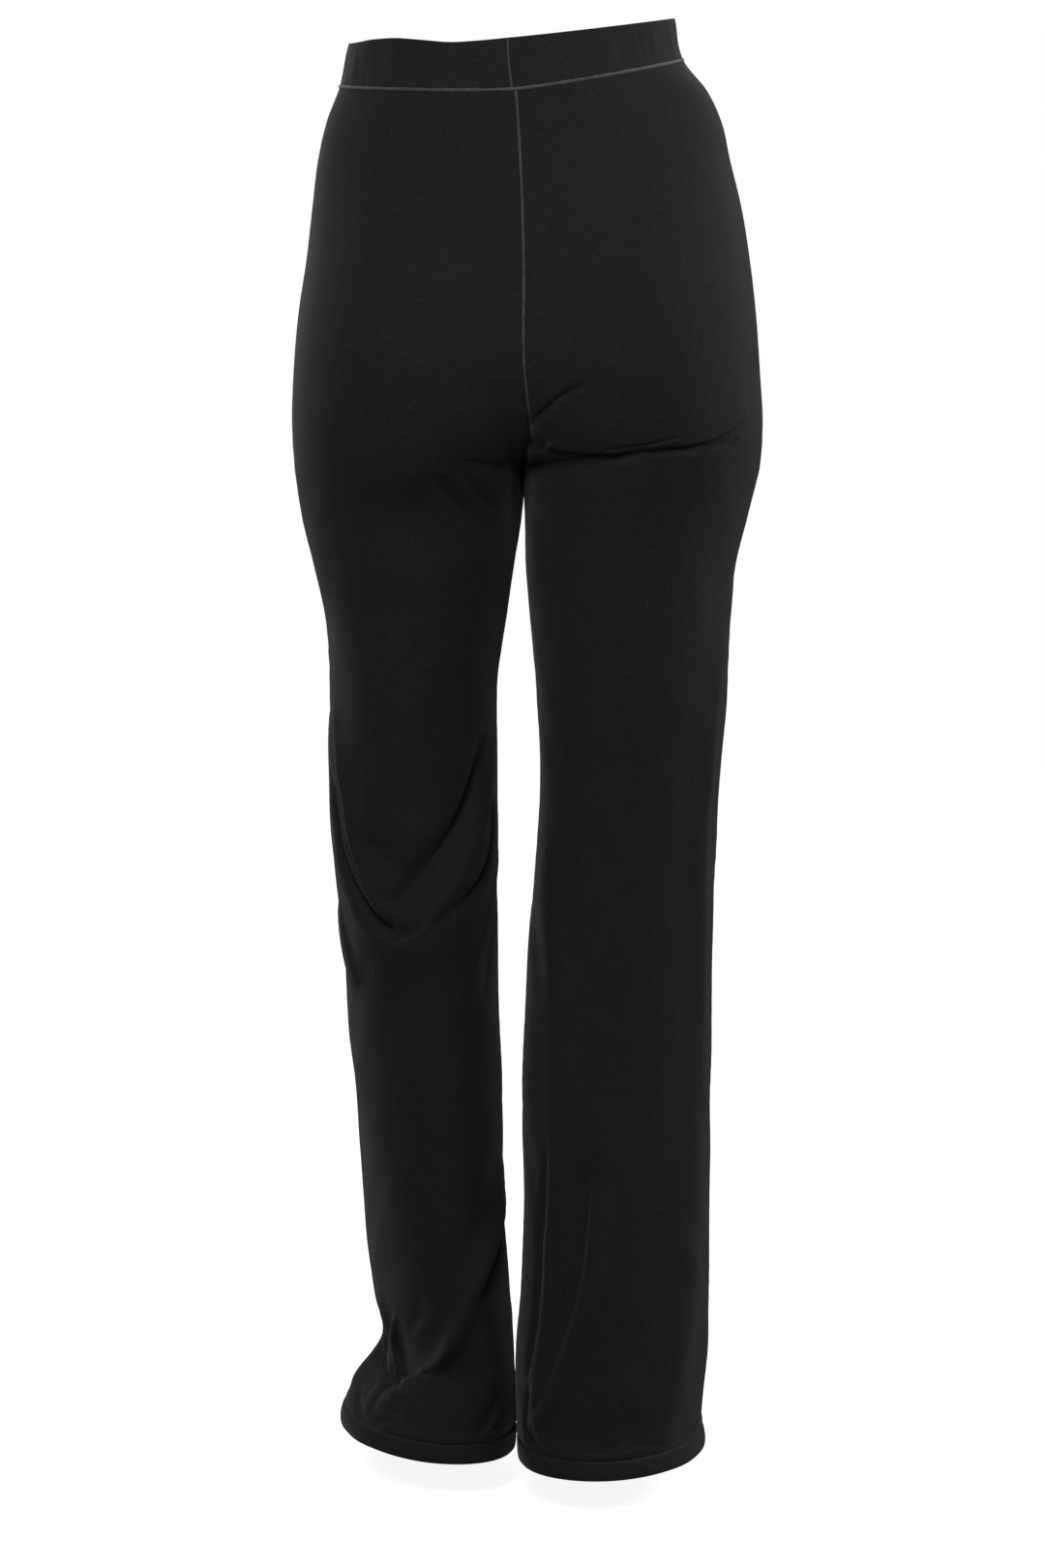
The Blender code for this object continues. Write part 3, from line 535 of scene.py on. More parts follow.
def spaced(points, degrees):
    """Each row's points at even lengths of cloth: 0 to 180 degrees on its back half, the rest in front.

    A row's point at some degrees lies at that share of its half's length, found
    by straight lines between the row's fine samples.
    """
    half = points.shape[1] // 2
    along = np.zeros(points.shape[:2])
    along[:, 1:] = np.cumsum(np.linalg.norm(np.diff(points, axis=1), axis=2), axis=1)
    side_seam, whole = along[:, half, None], along[:, -1, None]
    halves = np.where(along <= side_seam, along / side_seam, 1 + (along - side_seam) / (whole - side_seam))
    apart = ROWS_APART * np.arange(len(points))[:, None]
    wanted = (np.broadcast_to(degrees, (len(points), np.shape(degrees)[-1])) / 180 + apart).ravel()
    known = (halves + apart).ravel()
    found = [np.interp(wanted, known, points[..., k].ravel()) for k in range(3)]
    return np.stack(found, axis=1).reshape(len(points), -1, 3)


def graded(steps, end):
    """Drops from the first of the steps to the end, (from, step) giving the length of each step."""
    starts = [start for start, _ in steps] + [end]
    parts = [
        np.linspace(start, stop, max(1, round((stop - start) / step)), endpoint=False)
        for (start, step), stop in zip(steps, starts[1:])
    ]
    return np.concatenate(parts)


def panel_rows():
    """(centre drop, side drop, closing) of each row from the waist seam to the hem's seam."""
    seat = graded(SEAT_STEPS, SEAT_START)
    turning = np.arange(CROTCH_ROWS) / CROTCH_ROWS
    crotch = SEAT_START + (FORK - SEAT_START) * np.sin(turning * np.pi / 2)
    side_start, side_end = SEAT_START - SIDE_RISE_SEAM, FORK - SIDE_LEAD
    leg = np.append(graded(LEG_STEPS, HEM_SEAM), HEM_SEAM)
    centre = np.concatenate([seat, crotch, leg])
    side = np.concatenate([seat - SIDE_RISE_SEAM, side_start + (side_end - side_start) * turning,
                           leg - SIDE_LEAD * (1.0 - ease(leg, LEAD_FADES))])
    closing = np.concatenate([0 * seat, 1.0 - np.cos(turning * np.pi / 2), 0 * leg + 1.0])
    return np.stack([centre, side, closing], axis=1)


def column_degrees():
    """Degrees of each column, closer together beside the seams; and which column is the side seam."""
    halves = []
    for start, step in ((0.0, BACK_STEP), (180.0, FRONT_STEP)):
        near = np.array(BESIDE_SEAM)
        middle = np.linspace(near[-1], 180.0 - near[-1], round((180.0 - 2 * near[-1]) / step) + 1)
        halves.append(start + np.concatenate([near[:-1], middle, 180.0 - near[-2::-1]]))
    return np.concatenate([halves[0], halves[1][1:]]), len(halves[0]) - 1


def relief(lines, degrees, low):
    """How far ridges and troughs lift the cloth.

    Across its line each is a bell curve, height times e to the minus (distance
    over slope) squared, with unlike slopes on its two sides; along the line it
    rises from 0 and falls back to 0 as the root of a half sine wave.
    """
    lifted = np.zeros(degrees.shape)
    round_leg = 2 * np.pi * GAUGE
    for height, above, below, points in lines:
        known = np.array(points, float)
        knots = np.linspace(0.0, 1.0, len(known))
        steps = np.linspace(0.0, 1.0, FOLD_STEPS)
        path_u = np.radians(curve_through(steps, knots, known[:, 0])) * GAUGE
        path_w = curve_through(steps, knots, known[:, 1])
        reach = FOLD_REACH * max(above, below)
        near = (low > path_w.min() - reach) & (low < path_w.max() + reach)
        u, w = np.radians(degrees[near]) * GAUGE, low[near]
        du = u[:, None] - path_u
        du = (du + round_leg / 2) % round_leg - round_leg / 2
        dw = w[:, None] - path_w
        nearest = np.hypot(du, dw).argmin(axis=1)[:, None]
        near_u, near_w = np.take_along_axis(du, nearest, 1)[:, 0], np.take_along_axis(dw, nearest, 1)[:, 0]
        nearest = nearest[:, 0]
        step_u, step_w = np.gradient(path_u)[nearest], np.gradient(path_w)[nearest]
        length = np.hypot(step_u, step_w)
        aside = (near_u * step_w - near_w * step_u) / length
        onward = np.abs(near_u * step_u + near_w * step_w) / length
        apart = np.hypot(aside, np.maximum(onward - length / 2, 0.0))
        slope = np.where(aside > 0, below, above)
        ends = np.sqrt(np.sin(np.pi * np.clip(steps[nearest], *FOLD_ENDS)))
        lifted[near] += height * ends * bell(apart, slope)
    return lifted


def fold_room(degrees, drop, open_row, from_seam):
    """From 0 to 1, how much room a fold has: none at the waist, and none where the legs touch."""
    clear = ease(from_inside(degrees), from_seam)
    touching = np.maximum(1.0 - ease(drop, LEGS_PART), ease(drop, HEMS_MEET))
    touching = np.where(open_row, 1.0, touching)
    return ease(drop, FOLDS_START) * (1.0 - (1.0 - clear) * touching)


def pinched(grid, degrees):
    """The cloth drawn forward between the legs, most at the centre seam, by a bell curve each way."""
    low = -grid[..., 2]
    behind = (degrees < 90.0) & (grid[..., 1] > 0.0)
    moved = grid.copy()
    for depth, middle, above, below, wide in PINCHES:
        reach = np.where(low < middle, above, below)
        moved[..., 1] -= depth * np.where(behind, bell(low - middle, reach) * bell(degrees, wide), 0.0)
    return moved


def normals(grid, side, open_row):
    """Outward unit normals of a grid; a row that isn't open meets itself at the inside seam."""
    across, down = np.gradient(grid, axis=1), np.gradient(grid, axis=0)
    meeting = np.where(open_row, across[:, 0], (grid[:, 1] - grid[:, -2]) / 2)
    across[:, 0] = meeting
    across[:, -1] = np.where(open_row, across[:, -1], meeting)
    out = SIDES[side] * np.cross(across, down)
    return out / np.linalg.norm(out, axis=2, keepdims=True)


def beside_seams(degrees, drop, open_row):
    """The dip along the side and inside seams, with the puckers that its stitches draw up.

    The dip is a bell curve of the distance from the seam.  The puckers are a sine
    wave down the seam that drifts with a slower sine and comes and goes with a
    third, and they fade to each side by a wider bell curve.
    """
    to_side = np.radians(np.abs(degrees - 180.0)) * GAUGE
    to_inside = np.radians(from_inside(degrees)) * GAUGE
    dip = bell(to_side, SEAM_REACH) + bell(to_inside, SEAM_REACH)
    beside = bell(to_side, PUCKER_REACH) + INSIDE_PUCKER * bell(to_inside, PUCKER_REACH)
    drift = PUCKER_DRIFT[0] * np.sin(drop / PUCKER_DRIFT[1])
    wave = np.sin(drop / PUCKER_LENGTH + drift) * np.sin(drop / PUCKER_GROUPS[0] + PUCKER_GROUPS[1])
    return -SEAM_DIP * dip + PUCKER * beside * wave * np.where(open_row, SEAT_PUCKER, 1.0)


def above_hem(drop):
    """The cloth is drawn in where it meets the hem and swells a little above it, each by a bell curve."""
    to_seam = HEM_SEAM - drop
    swell = HEM_SWELL * bell(to_seam - HEM_SWELL_AT, HEM_SWELL_REACH)
    return swell - HEM_DRAW * bell(to_seam, HEM_DRAW_REACH)


def cloth_grid(side, rows, degrees, gap=SEAM_GAP):
    """Points and outward normals of a stretch of cloth on one side of the garment, folds included.

    A point is its place on the section plus its normal times the lift there: the
    sum of folds, creases, low swells, which are slanting sine waves, and the
    outward kick of the hem.
    """
    grid = pinched(spaced(sections(side, rows, gap), degrees), degrees)
    open_row = rows[:, :1] <= FORK
    degrees = np.broadcast_to(degrees, grid.shape[:2])
    drop = np.broadcast_to(rows[:, :1], grid.shape[:2])
    room = fold_room(degrees, drop, open_row, FOLDS_FROM_SEAM)
    crease_room = fold_room(degrees, drop, open_row, CREASES_FROM_SEAM)
    lift = relief(FOLDS[side], degrees, drop) * room
    lift += relief(CREASES[side], degrees, -grid[..., 2]) * crease_room
    swell = sum(
        height * np.sin(2 * np.pi * (degrees / wide + drop / long) + phase)
        for height, wide, long, phase in SWELLS
    )
    lift += swell * ease(drop, SWELLS_START) * room
    kick = LEAST_KICK + (1.0 - LEAST_KICK) * ease(from_inside(degrees), KICK_FROM_SEAM)
    lift += HEM_KICK * ease(drop, KICK_STARTS) * kick
    grid = grid + normals(grid, side, open_row) * lift[..., None]
    return grid, normals(grid, side, open_row)


def drawn_in(edge, inside, gap=SEAM_GAP):
    """An edge of a piece, moved half a seam gap towards the line of points next to it."""
    step = inside - edge
    return edge + step / np.linalg.norm(step, axis=-1, keepdims=True) * (gap / 2)


def patch(index):
    """Quads over a grid of point numbers."""
    return np.stack([index[:-1, :-1], index[:-1, 1:], index[1:, 1:], index[1:, :-1]], -1).reshape(-1, 4)


def numbered(rows, columns, ring=False):
    """A grid of point numbers whose columns close round, and its rows too where it is a ring."""
    index = np.arange(rows * columns).reshape(rows, columns)
    index = np.concatenate([index, index[:, :1]], axis=1)
    return np.concatenate([index, index[:1]]) if ring else index


def add_object(name, data):
    """A new object at the origin, in the scene."""
    made = bpy.data.objects.new(name, data)
    bpy.context.scene.collection.objects.link(made)
    return made


def piece(name, points, faces, material, uv=None, corners=None):
    """A smooth mesh from points and faces, with a map in metres of cloth where one is given."""
    mesh = bpy.data.meshes.new(name)
    mesh.from_pydata(points.reshape(-1, 3), [], faces)
    if uv is not None:
        layer = mesh.uv_layers.new(name="cloth")
        layer.data.foreach_set("uv", uv.reshape(-1, 2)[corners.ravel()].astype(np.float32).ravel())
    mesh.shade_smooth()
    mesh.materials.append(material)
    mesh.validate()
    made = add_object(name, mesh)
    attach(made, "root")
    return made


def wall(name, outer, out, uv, side, thickness, material):
    """A closed wall of cloth from its outer face inwards along the garment's normals."""
    points = np.stack([outer, outer - out * thickness])
    index = np.arange(points.shape[0] * points.shape[1] * points.shape[2]).reshape(points.shape[:3])
    face, lining = index
    sheets = [face, lining[::-1], np.stack([lining[0], face[0]]), np.stack([face[-1], lining[-1]]),
              np.stack([lining[:, 0], face[:, 0]], axis=1), np.stack([face[:, -1], lining[:, -1]], axis=1)]
    faces = np.concatenate([patch(sheet) for sheet in sheets])
    if SIDES[side] < 0:
        faces = faces[:, ::-1]
    return piece(name, points, faces, material, np.stack([uv, uv]), faces)


def loop_of_cloth(name, points, uv, side, material):
    """A folded strip that closes round the garment: a grid of points that joins up both ways.

    uv has one row and one column more than the points, so its pattern doesn't
    turn back on itself where the grid closes.
    """
    corners = patch(np.arange(uv.shape[0] * uv.shape[1]).reshape(uv.shape[:2]))
    faces = patch(numbered(*points.shape[:2], ring=True))
    if SIDES[side] < 0:
        faces, corners = faces[:, ::-1], corners[:, ::-1]
    return piece(name, points, faces, material, uv, corners)


def uneven_turns(along):
    """How much thicker a seam's thread lies, along it: a long sine wave that drifts, and a short one."""
    drift = LONG_TURNS_DRIFT[0] * np.sin(along / LONG_TURNS_DRIFT[1])
    long_wave = LONG_TURNS[0] * np.sin(along / LONG_TURNS[1] + drift)
    return long_wave + SHORT_TURNS[0] * np.sin(along / SHORT_TURNS[1])


def raised_seam(name, path, out, width, height, material, ring=False):
    """A rounded ridge along a path: an oval of that width and height, half sunk in the cloth.

    A point is path + across (width/2) cos a + out (height sin a), and the oval
    narrows to nothing over the last points of a path that isn't a ring.
    """
    if ring:
        forward = np.roll(path, -1, axis=0) - np.roll(path, 1, axis=0)
    else:
        forward = np.gradient(path, axis=0)
    forward /= np.linalg.norm(forward, axis=1, keepdims=True)
    across = np.cross(forward, out)
    across /= np.linalg.norm(across, axis=1, keepdims=True)
    along = lengths(path)
    even = 1.0 + uneven_turns(along)
    if not ring:
        even = even * np.sqrt(np.clip(np.minimum(along, along[-1] - along) / width, SEAM_TIP, 1.0))
    angle = np.linspace(0.0, 2 * np.pi, SEAM_ROUND, endpoint=False)
    sideways = (width / 2 * even)[:, None, None] * np.cos(angle)[None, :, None] * across[:, None]
    upwards = (height * even)[:, None, None] * np.sin(angle)[None, :, None] * out[:, None]
    points = path[:, None] + sideways + upwards
    index = numbered(len(path), SEAM_ROUND, ring)
    faces = patch(index).tolist()
    if not ring:
        faces += [index[0, :-1][::-1].tolist(), index[-1, :-1].tolist()]
    made = piece(name, points, faces, material)
    set_lengthways_map(made.data, along, angle * width / 2)
    return outwards(made)


def set_lengthways_map(mesh, along, around):
    """Map of a raised seam: metres along it and round it, read from each corner's point number."""
    layer = mesh.uv_layers.new(name="cloth")
    point = np.empty(len(mesh.loops), int)
    mesh.loops.foreach_get("vertex_index", point)
    uv = np.stack([along[point // SEAM_ROUND], around[point % SEAM_ROUND]], axis=1)
    layer.data.foreach_set("uv", uv.astype(np.float32).ravel())


def outwards(made):
    """Turns the faces of a closed piece outwards if its volume comes out negative."""
    mesh = made.data
    mesh.calc_loop_triangles()
    corners = np.empty(3 * len(mesh.loop_triangles), int)
    mesh.loop_triangles.foreach_get("vertices", corners)
    at = np.empty(3 * len(mesh.vertices))
    mesh.vertices.foreach_get("co", at)
    a, b, c = at.reshape(-1, 3)[corners.reshape(-1, 3)].transpose(1, 0, 2)
    if np.einsum("ij,ij->", a, np.cross(b, c)) < 0:
        mesh.flip_normals()
    return made


def stitches(name, path, out, material):
    """Rows of single stitches: small spindles, one every pitch along each path.

    A stitch is a tube whose radius is thread times the root of (1 - x squared),
    x going from -1 to 1 along its length, laid half in the cloth.
    """
    points, forwards, ups = [], [], []
    for row, up in zip(path, out):
        closed = np.concatenate([row, row[:1]])
        normal = np.concatenate([up, up[:1]])
        along = lengths(closed)
        count = int(along[-1] / STITCH_PITCH)
        at = (np.arange(count) + 0.5) * along[-1] / count
        place = np.stack([np.interp(at, along, closed[:, k]) for k in range(3)], axis=1)
        ahead = np.stack([np.interp(at + STITCH_AHEAD, along, closed[:, k]) for k in range(3)], axis=1)
        points.append(place)
        forwards.append((ahead - place) / np.linalg.norm(ahead - place, axis=1, keepdims=True))
        ups.append(np.stack([np.interp(at, along, normal[:, k]) for k in range(3)], axis=1))
    centre, forward, up = np.concatenate(points), np.concatenate(forwards), np.concatenate(ups)
    across = np.cross(forward, up)
    x = np.array(STITCH_RINGS)
    radius = THREAD * np.sqrt(np.clip(1.0 - x**2, 0.02, 1.0))
    angle = np.linspace(0.0, 2 * np.pi, STITCH_ROUND, endpoint=False)
    length = (STITCH / 2 * x)[:, None] * np.ones(STITCH_ROUND)
    side = radius[:, None] * np.cos(angle)
    top = radius[:, None] * np.sin(angle) + THREAD * STITCH_LIFT
    shape = (forward[:, None, None] * length[..., None] + across[:, None, None] * side[..., None]
             + up[:, None, None] * top[..., None])
    all_points = centre[:, None, None] + shape
    first = np.array([[0, 1, 2, 3], [0, 3, 4, 5]])
    last = (len(x) - 1) * STITCH_ROUND + first[:, ::-1]
    one = np.concatenate([patch(numbered(len(x), STITCH_ROUND))[:, ::-1], first, last])
    faces = (one[None] + len(x) * STITCH_ROUND * np.arange(len(centre))[:, None, None]).reshape(-1, 4)
    return outwards(piece(name, all_points, faces, material))


def new_material(name):
    """An empty material and its shader."""
    material = bpy.data.materials.new(name)
    material.use_nodes = True
    return material, material.node_tree.nodes["Principled BSDF"]


def shade(colour, by):
    """A colour made darker or lighter by a factor, with its alpha."""
    return tuple(part * by for part in colour) + (1.0,)


def add_bump(material, shader, height, strength, distance):
    """Fine relief on a shader, from a height that is worked out by other nodes."""
    link = material.node_tree.links.new
    bump = material.node_tree.nodes.new("ShaderNodeBump")
    bump.inputs["Strength"].default_value = strength
    bump.inputs["Distance"].default_value = distance
    link(height, bump.inputs["Height"])
    link(bump.outputs["Normal"], shader.inputs["Normal"])


def set_finish(shader, roughness, specular, sheen, sheen_roughness):
    """How dull a shader is, and how much its fibres shine at the edges."""
    shader.inputs["Roughness"].default_value = roughness
    shader.inputs["Specular IOR Level"].default_value = specular
    shader.inputs["Sheen Weight"].default_value = sheen
    shader.inputs["Sheen Roughness"].default_value = sheen_roughness


def jersey(name, colour, sheen, roughness, grain=1.0):
    """Fine black jersey: ribs and loops of the knit, a soft mottle, and fibres that catch light."""
    material, shader = new_material(name)
    nodes, link = material.node_tree.nodes, material.node_tree.links.new
    place = nodes.new("ShaderNodeTexCoord")

    def noise(kind, source, factor=1.0):
        scale, detail, share = kind
        found = nodes.new("ShaderNodeTexNoise")
        found.inputs["Scale"].default_value = scale
        found.inputs["Detail"].default_value = detail
        found.inputs["Roughness"].default_value = 0.6
        link(source, found.inputs["Vector"])
        return maths("MULTIPLY", found.outputs["Fac"], share * factor)

    def maths(operation, first, second=None):
        found = nodes.new("ShaderNodeMath")
        found.operation = operation
        for socket, value in zip(found.inputs, (first, second)):
            if value is None:
                continue
            if isinstance(value, (int, float)):
                socket.default_value = value
            else:
                link(value, socket)
        return found.outputs[0]

    split = nodes.new("ShaderNodeSeparateXYZ")
    link(place.outputs["UV"], split.inputs[0])
    ribs = maths("SINE", maths("MULTIPLY", split.outputs["X"], 2 * np.pi / WALE))
    loops = maths("SINE", maths("MULTIPLY", split.outputs["Y"], 2 * np.pi / COURSE))
    knit = maths("ADD", maths("MULTIPLY", ribs, RIBS), maths("MULTIPLY", loops, LOOPS))
    fibres = noise(FIBRES, place.outputs["Object"], grain)
    soft = noise(SOFTNESS, place.outputs["Object"], grain)
    add_bump(material, shader, maths("ADD", maths("ADD", knit, fibres), soft), 0.55, 0.00022)

    stretched = nodes.new("ShaderNodeMapping")
    stretched.inputs["Scale"].default_value = (1.0, 1.0, MOTTLE_STRETCH)
    link(place.outputs["Object"], stretched.inputs["Vector"])
    tone = maths("ADD", noise(BROAD_MOTTLE, place.outputs["Object"]),
                 noise(FINE_MOTTLE, stretched.outputs["Vector"]))
    blend = nodes.new("ShaderNodeMapRange")
    blend.inputs["From Min"].default_value, blend.inputs["From Max"].default_value = MIDDLE_TONES
    link(tone, blend.inputs["Value"])
    mix = nodes.new("ShaderNodeMix")
    mix.data_type = "RGBA"
    colours = [socket for socket in mix.inputs if socket.type == "RGBA"]
    colours[0].default_value, colours[1].default_value = (shade(colour, by) for by in JERSEY_TONES)
    link(blend.outputs["Result"], mix.inputs[0])
    link([socket for socket in mix.outputs if socket.type == "RGBA"][0], shader.inputs["Base Color"])
    set_finish(shader, roughness, 0.05, sheen, 0.40)
    shader.inputs["Sheen Tint"].default_value = (1.0, 1.0, 1.0, 1.0)
    return material


def seam_thread(name, colour, sheen):
    """Overlocked seam: twisted threads in slanting turns."""
    material, shader = new_material(name)
    nodes, link = material.node_tree.nodes, material.node_tree.links.new
    place = nodes.new("ShaderNodeTexCoord")
    twist = nodes.new("ShaderNodeTexWave")
    twist.wave_type, twist.bands_direction = "BANDS", "DIAGONAL"
    twist.inputs["Scale"].default_value = 260.0
    twist.inputs["Distortion"].default_value = 1.5
    link(place.outputs["UV"], twist.inputs["Vector"])
    uneven = nodes.new("ShaderNodeTexNoise")
    uneven.inputs["Scale"].default_value = 170.0
    uneven.inputs["Detail"].default_value = 3.0
    link(place.outputs["Object"], uneven.inputs["Vector"])
    ramp = nodes.new("ShaderNodeValToRGB")
    for stop, position, by in zip(ramp.color_ramp.elements, MIDDLE_TONES, THREAD_TONES):
        stop.position = position
        stop.color = shade(colour, by)
    link(uneven.outputs["Fac"], ramp.inputs["Fac"])
    link(ramp.outputs["Color"], shader.inputs["Base Color"])
    add_bump(material, shader, twist.outputs["Fac"], 0.5, 0.0002)
    set_finish(shader, 0.7, 0.2, sheen, 0.5)
    return material


def make_panels(side, material):
    """The back and front panel of one leg, which meet at the side seam and the inside seam.

    Returns the panels by name, and the grid that the centre seam follows.
    """
    rows, (degrees, side_seam) = panel_rows(), column_degrees()
    grid, out = cloth_grid(side, rows, degrees)
    drop = rows[:, :1]
    around = np.broadcast_to(degrees, grid.shape[:2])
    lift = beside_seams(around, np.broadcast_to(drop, around.shape), drop <= FORK) + above_hem(drop)
    grid = grid + out * lift[..., None]
    down_cloth = lengths(grid[:, side_seam // 2])
    uv = np.stack(np.broadcast_arrays(np.radians(degrees) * GAUGE, down_cloth[:, None]), axis=2)
    grid[0], grid[-1] = drawn_in(grid[0], grid[1]), drawn_in(grid[-1], grid[-2])
    made = {}
    for panel, cut in (("back", slice(0, side_seam + 1)), ("front", slice(side_seam, None))):
        cloth = grid[:, cut].copy()
        at_side, inwards = (-1, -1) if panel == "back" else (0, 1)
        cloth[:, at_side] = drawn_in(cloth[:, at_side], cloth[:, at_side + inwards], CLOSED_GAP)
        inside = -1 - at_side
        inseam = drawn_in(cloth[:, inside], cloth[:, inside - inwards], CLOSED_GAP)
        cloth[:, inside] = np.where(drop >= FORK, inseam, cloth[:, inside])
        made[panel] = wall(f"{panel}_{side}_cloth", cloth, out[:, cut], uv[:, cut], side, CLOTH, material)
        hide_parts(f"{panel}_{side}")
    return made, {"rows": rows, "grid": grid, "out": out}


def rolled(drops, grid, out, thickness, steps, bulge, fold_at_end):
    """A folded strip's section carried round: outer face, round fold, inner face.

    The fold is a half circle of half the thickness, and each face bulges by a
    power of a half sine wave.  fold_at_end says which end of the drops is folded.
    Returns the closed grid of points and the length of cloth from its first row
    to each row.
    """
    radius = thickness / 2
    start, end = (drops[0], drops[-1]) if fold_at_end else (drops[-1], drops[0])
    towards = np.sign(end - start)
    flat = np.linspace(start + towards * SEAM_GAP / 2, end - towards * radius, steps)
    turn = np.linspace(0.0, np.pi, FOLD_TURNS)[1:-1]
    at = np.concatenate([flat, end - towards * radius * (1 - np.sin(turn)), flat[::-1]])
    inset = np.concatenate([0 * flat, radius * (1 - np.cos(turn)), 0 * flat + thickness])
    rounding = np.sin(np.pi * np.linspace(0.0, 1.0, steps)) ** BULGE_POWER
    inset -= bulge * np.concatenate([rounding, 0 * turn, -INNER_BULGE * rounding[::-1]])
    place = np.interp(at, drops, np.arange(len(drops)))
    below = np.clip(place.astype(int), 0, len(drops) - 2)
    share = (place - below)[:, None, None]
    points = grid[below] * (1 - share) + grid[below + 1] * share
    normal = out[below] * (1 - share) + out[below + 1] * share
    points = points - normal * inset[:, None, None]
    run = np.concatenate([[0.0], np.cumsum(np.hypot(np.diff(at), np.diff(inset)))])
    return points, np.append(run, run[-1] + thickness)


def ring_map(around, run):
    """Map of a folded strip: metres round it and along its section."""
    return np.stack(np.broadcast_arrays(around, run[:, None]), axis=2)


def make_hem(side, material, thread):
    """The turned hem, a ring of two layers, and the two rows of stitches that hold it.

    Its points are the leg's own grid, drawn in beside the inside seam by a bell
    curve and carried round the fold.
    """
    degrees, _ = column_degrees()
    count = round((HEM_FOLD - HEM_SEAM) / HEM_STEP) + 1
    drops = np.linspace(HEM_SEAM, HEM_FOLD, count)
    rows = np.stack([drops, drops, np.ones(count)], axis=1)
    grid, out = cloth_grid(side, rows, degrees)
    ring, normal = grid[:, :-1], out[:, :-1]
    to_inside = np.radians(from_inside(degrees)[:-1]) * GAUGE
    ring = ring - normal * (HEM_DIP * bell(to_inside, SEAM_REACH))[None, :, None]
    points, run = rolled(drops, ring, normal, HEM_CLOTH, count, HEM_BULGE, fold_at_end=True)
    uv = ring_map(np.radians(degrees) * GAUGE, run)
    hem = loop_of_cloth(f"hem_{side}_cloth", points, uv, side, material)
    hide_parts(f"hem_{side}")
    groove = ring[0] - normal[0] * HEM_SEAM_SINK
    joined = raised_seam(f"hem_{side}_seam", groove, normal[0], *HEM_SEAM_SIZE, thread, ring=True)
    rows_at = [np.abs(drops - drop).argmin() for drop in STITCH_ROWS]
    lines = [ring[k] + normal[k] * STITCH_RAISE for k in rows_at]
    sewn = stitches(f"hem_{side}_stitches", lines, [normal[k] for k in rows_at], thread)
    return hem, [joined, sewn]


def band_rows(count):
    """Drops down the waistband, each one's share of the way to its seam, and its rows."""
    drops = np.linspace(BAND_TOP, BAND_SEAM, count)
    seamwards = (drops - BAND_TOP) / (BAND_SEAM - BAND_TOP)
    rise = SIDE_RISE_TOP + (SIDE_RISE_SEAM - SIDE_RISE_TOP) * seamwards
    return drops, seamwards, np.stack([drops, drops - rise, 0 * drops], axis=1)


def ripples(turn, seamwards):
    """The relief that elastic draws up in a waistband, turn going from 0 to 2 pi round it.

    Fine sine waves that drift and come and go, plus two slower ones that slant
    from the top edge to the seam, all fading towards both edges by half a sine.
    """
    drifting = np.sin(FINE_RIPPLE * turn + RIPPLE_DRIFT[0] * np.sin(RIPPLE_DRIFT[1] * turn))
    least, swing, waves = RIPPLE_GROUPS
    raised = drifting * (least + swing * np.sin(waves * turn))
    for height, waves, slant, phase in SLANTING_RIPPLES:
        raised = raised + height * np.sin(waves * turn + slant * seamwards + phase)
    start, end = RIPPLE_SPAN
    return raised * np.sin(np.pi * (start + (end - start) * seamwards))


def make_waistband(material):
    """The waistband: one ring of folded cloth over elastic, with its ripples and uneven top edge."""
    degrees, _ = column_degrees()
    count = round((BAND_SEAM - BAND_TOP) / BAND_STEP) + 1
    drops, seamwards, rows = band_rows(count)
    seamwards = seamwards[:, None]
    left, right = (cloth_grid(side, rows, degrees, gap=0.0) for side in SIDES)
    edge = np.array(BAND_EDGE)
    uneven = curve_through(degrees, edge[:, 0], edge[:, 1])
    left[0][..., 2] += uneven * (1 - seamwards)
    grid, out = (np.concatenate([a, b[:, -2:0:-1]], axis=1) for a, b in zip(left, right))
    around = lengths(grid[count // 2])
    whole = around[-1] + np.linalg.norm(grid[count // 2, -1] - grid[count // 2, 0])
    grid = grid + out * (BAND_RIPPLE * ripples(2 * np.pi / whole * around, seamwards))[..., None]
    points, run = rolled(drops, grid, out, BAND_CLOTH, count, BAND_BULGE, fold_at_end=False)
    uv = ring_map(np.append(around, whole), run)
    band = loop_of_cloth("waistband_cloth", points, uv, "right", material)
    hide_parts("waistband")
    return outwards(band)


def make_band_seam(material):
    """The waistband's own seam at centre back, over its outer face."""
    _, seamwards, rows = band_rows(BAND_SEAM_ROWS)
    wanted = BAND_SEAM_TOP + (BAND_SEAM_FOOT - BAND_SEAM_TOP) * seamwards
    lanes = wanted[:, None] + np.array([-1.0, 0.0, 1.0])
    grid, out = cloth_grid("left", rows, np.clip(lanes, 0.0, 180.0), gap=0.0)
    bulge = BAND_BULGE * np.sin(np.pi * seamwards) ** BULGE_POWER
    path = grid[:, 1] + out[:, 1] * bulge[:, None]
    seam = raised_seam("band_seam", path, out[:, 1], *BAND_SEAM_SIZE, material)
    return seam


def make_waist_seam(material):
    """The seam that joins the waistband to the panels, all round."""
    degrees, _ = column_degrees()
    drops = BAND_SEAM + np.array([-SEAM_STEP, 0.0, SEAM_STEP])
    rows = np.stack([drops, drops - SIDE_RISE_SEAM, 0 * drops], axis=1)
    left, right = (cloth_grid(side, rows, degrees, gap=0.0) for side in SIDES)
    grid, out = (np.concatenate([a[1], b[1, -2:0:-1]]) for a, b in zip(left, right))
    seam = raised_seam("waist_seam", grid, out, *WAIST_SEAM_SIZE, material, ring=True)
    return seam


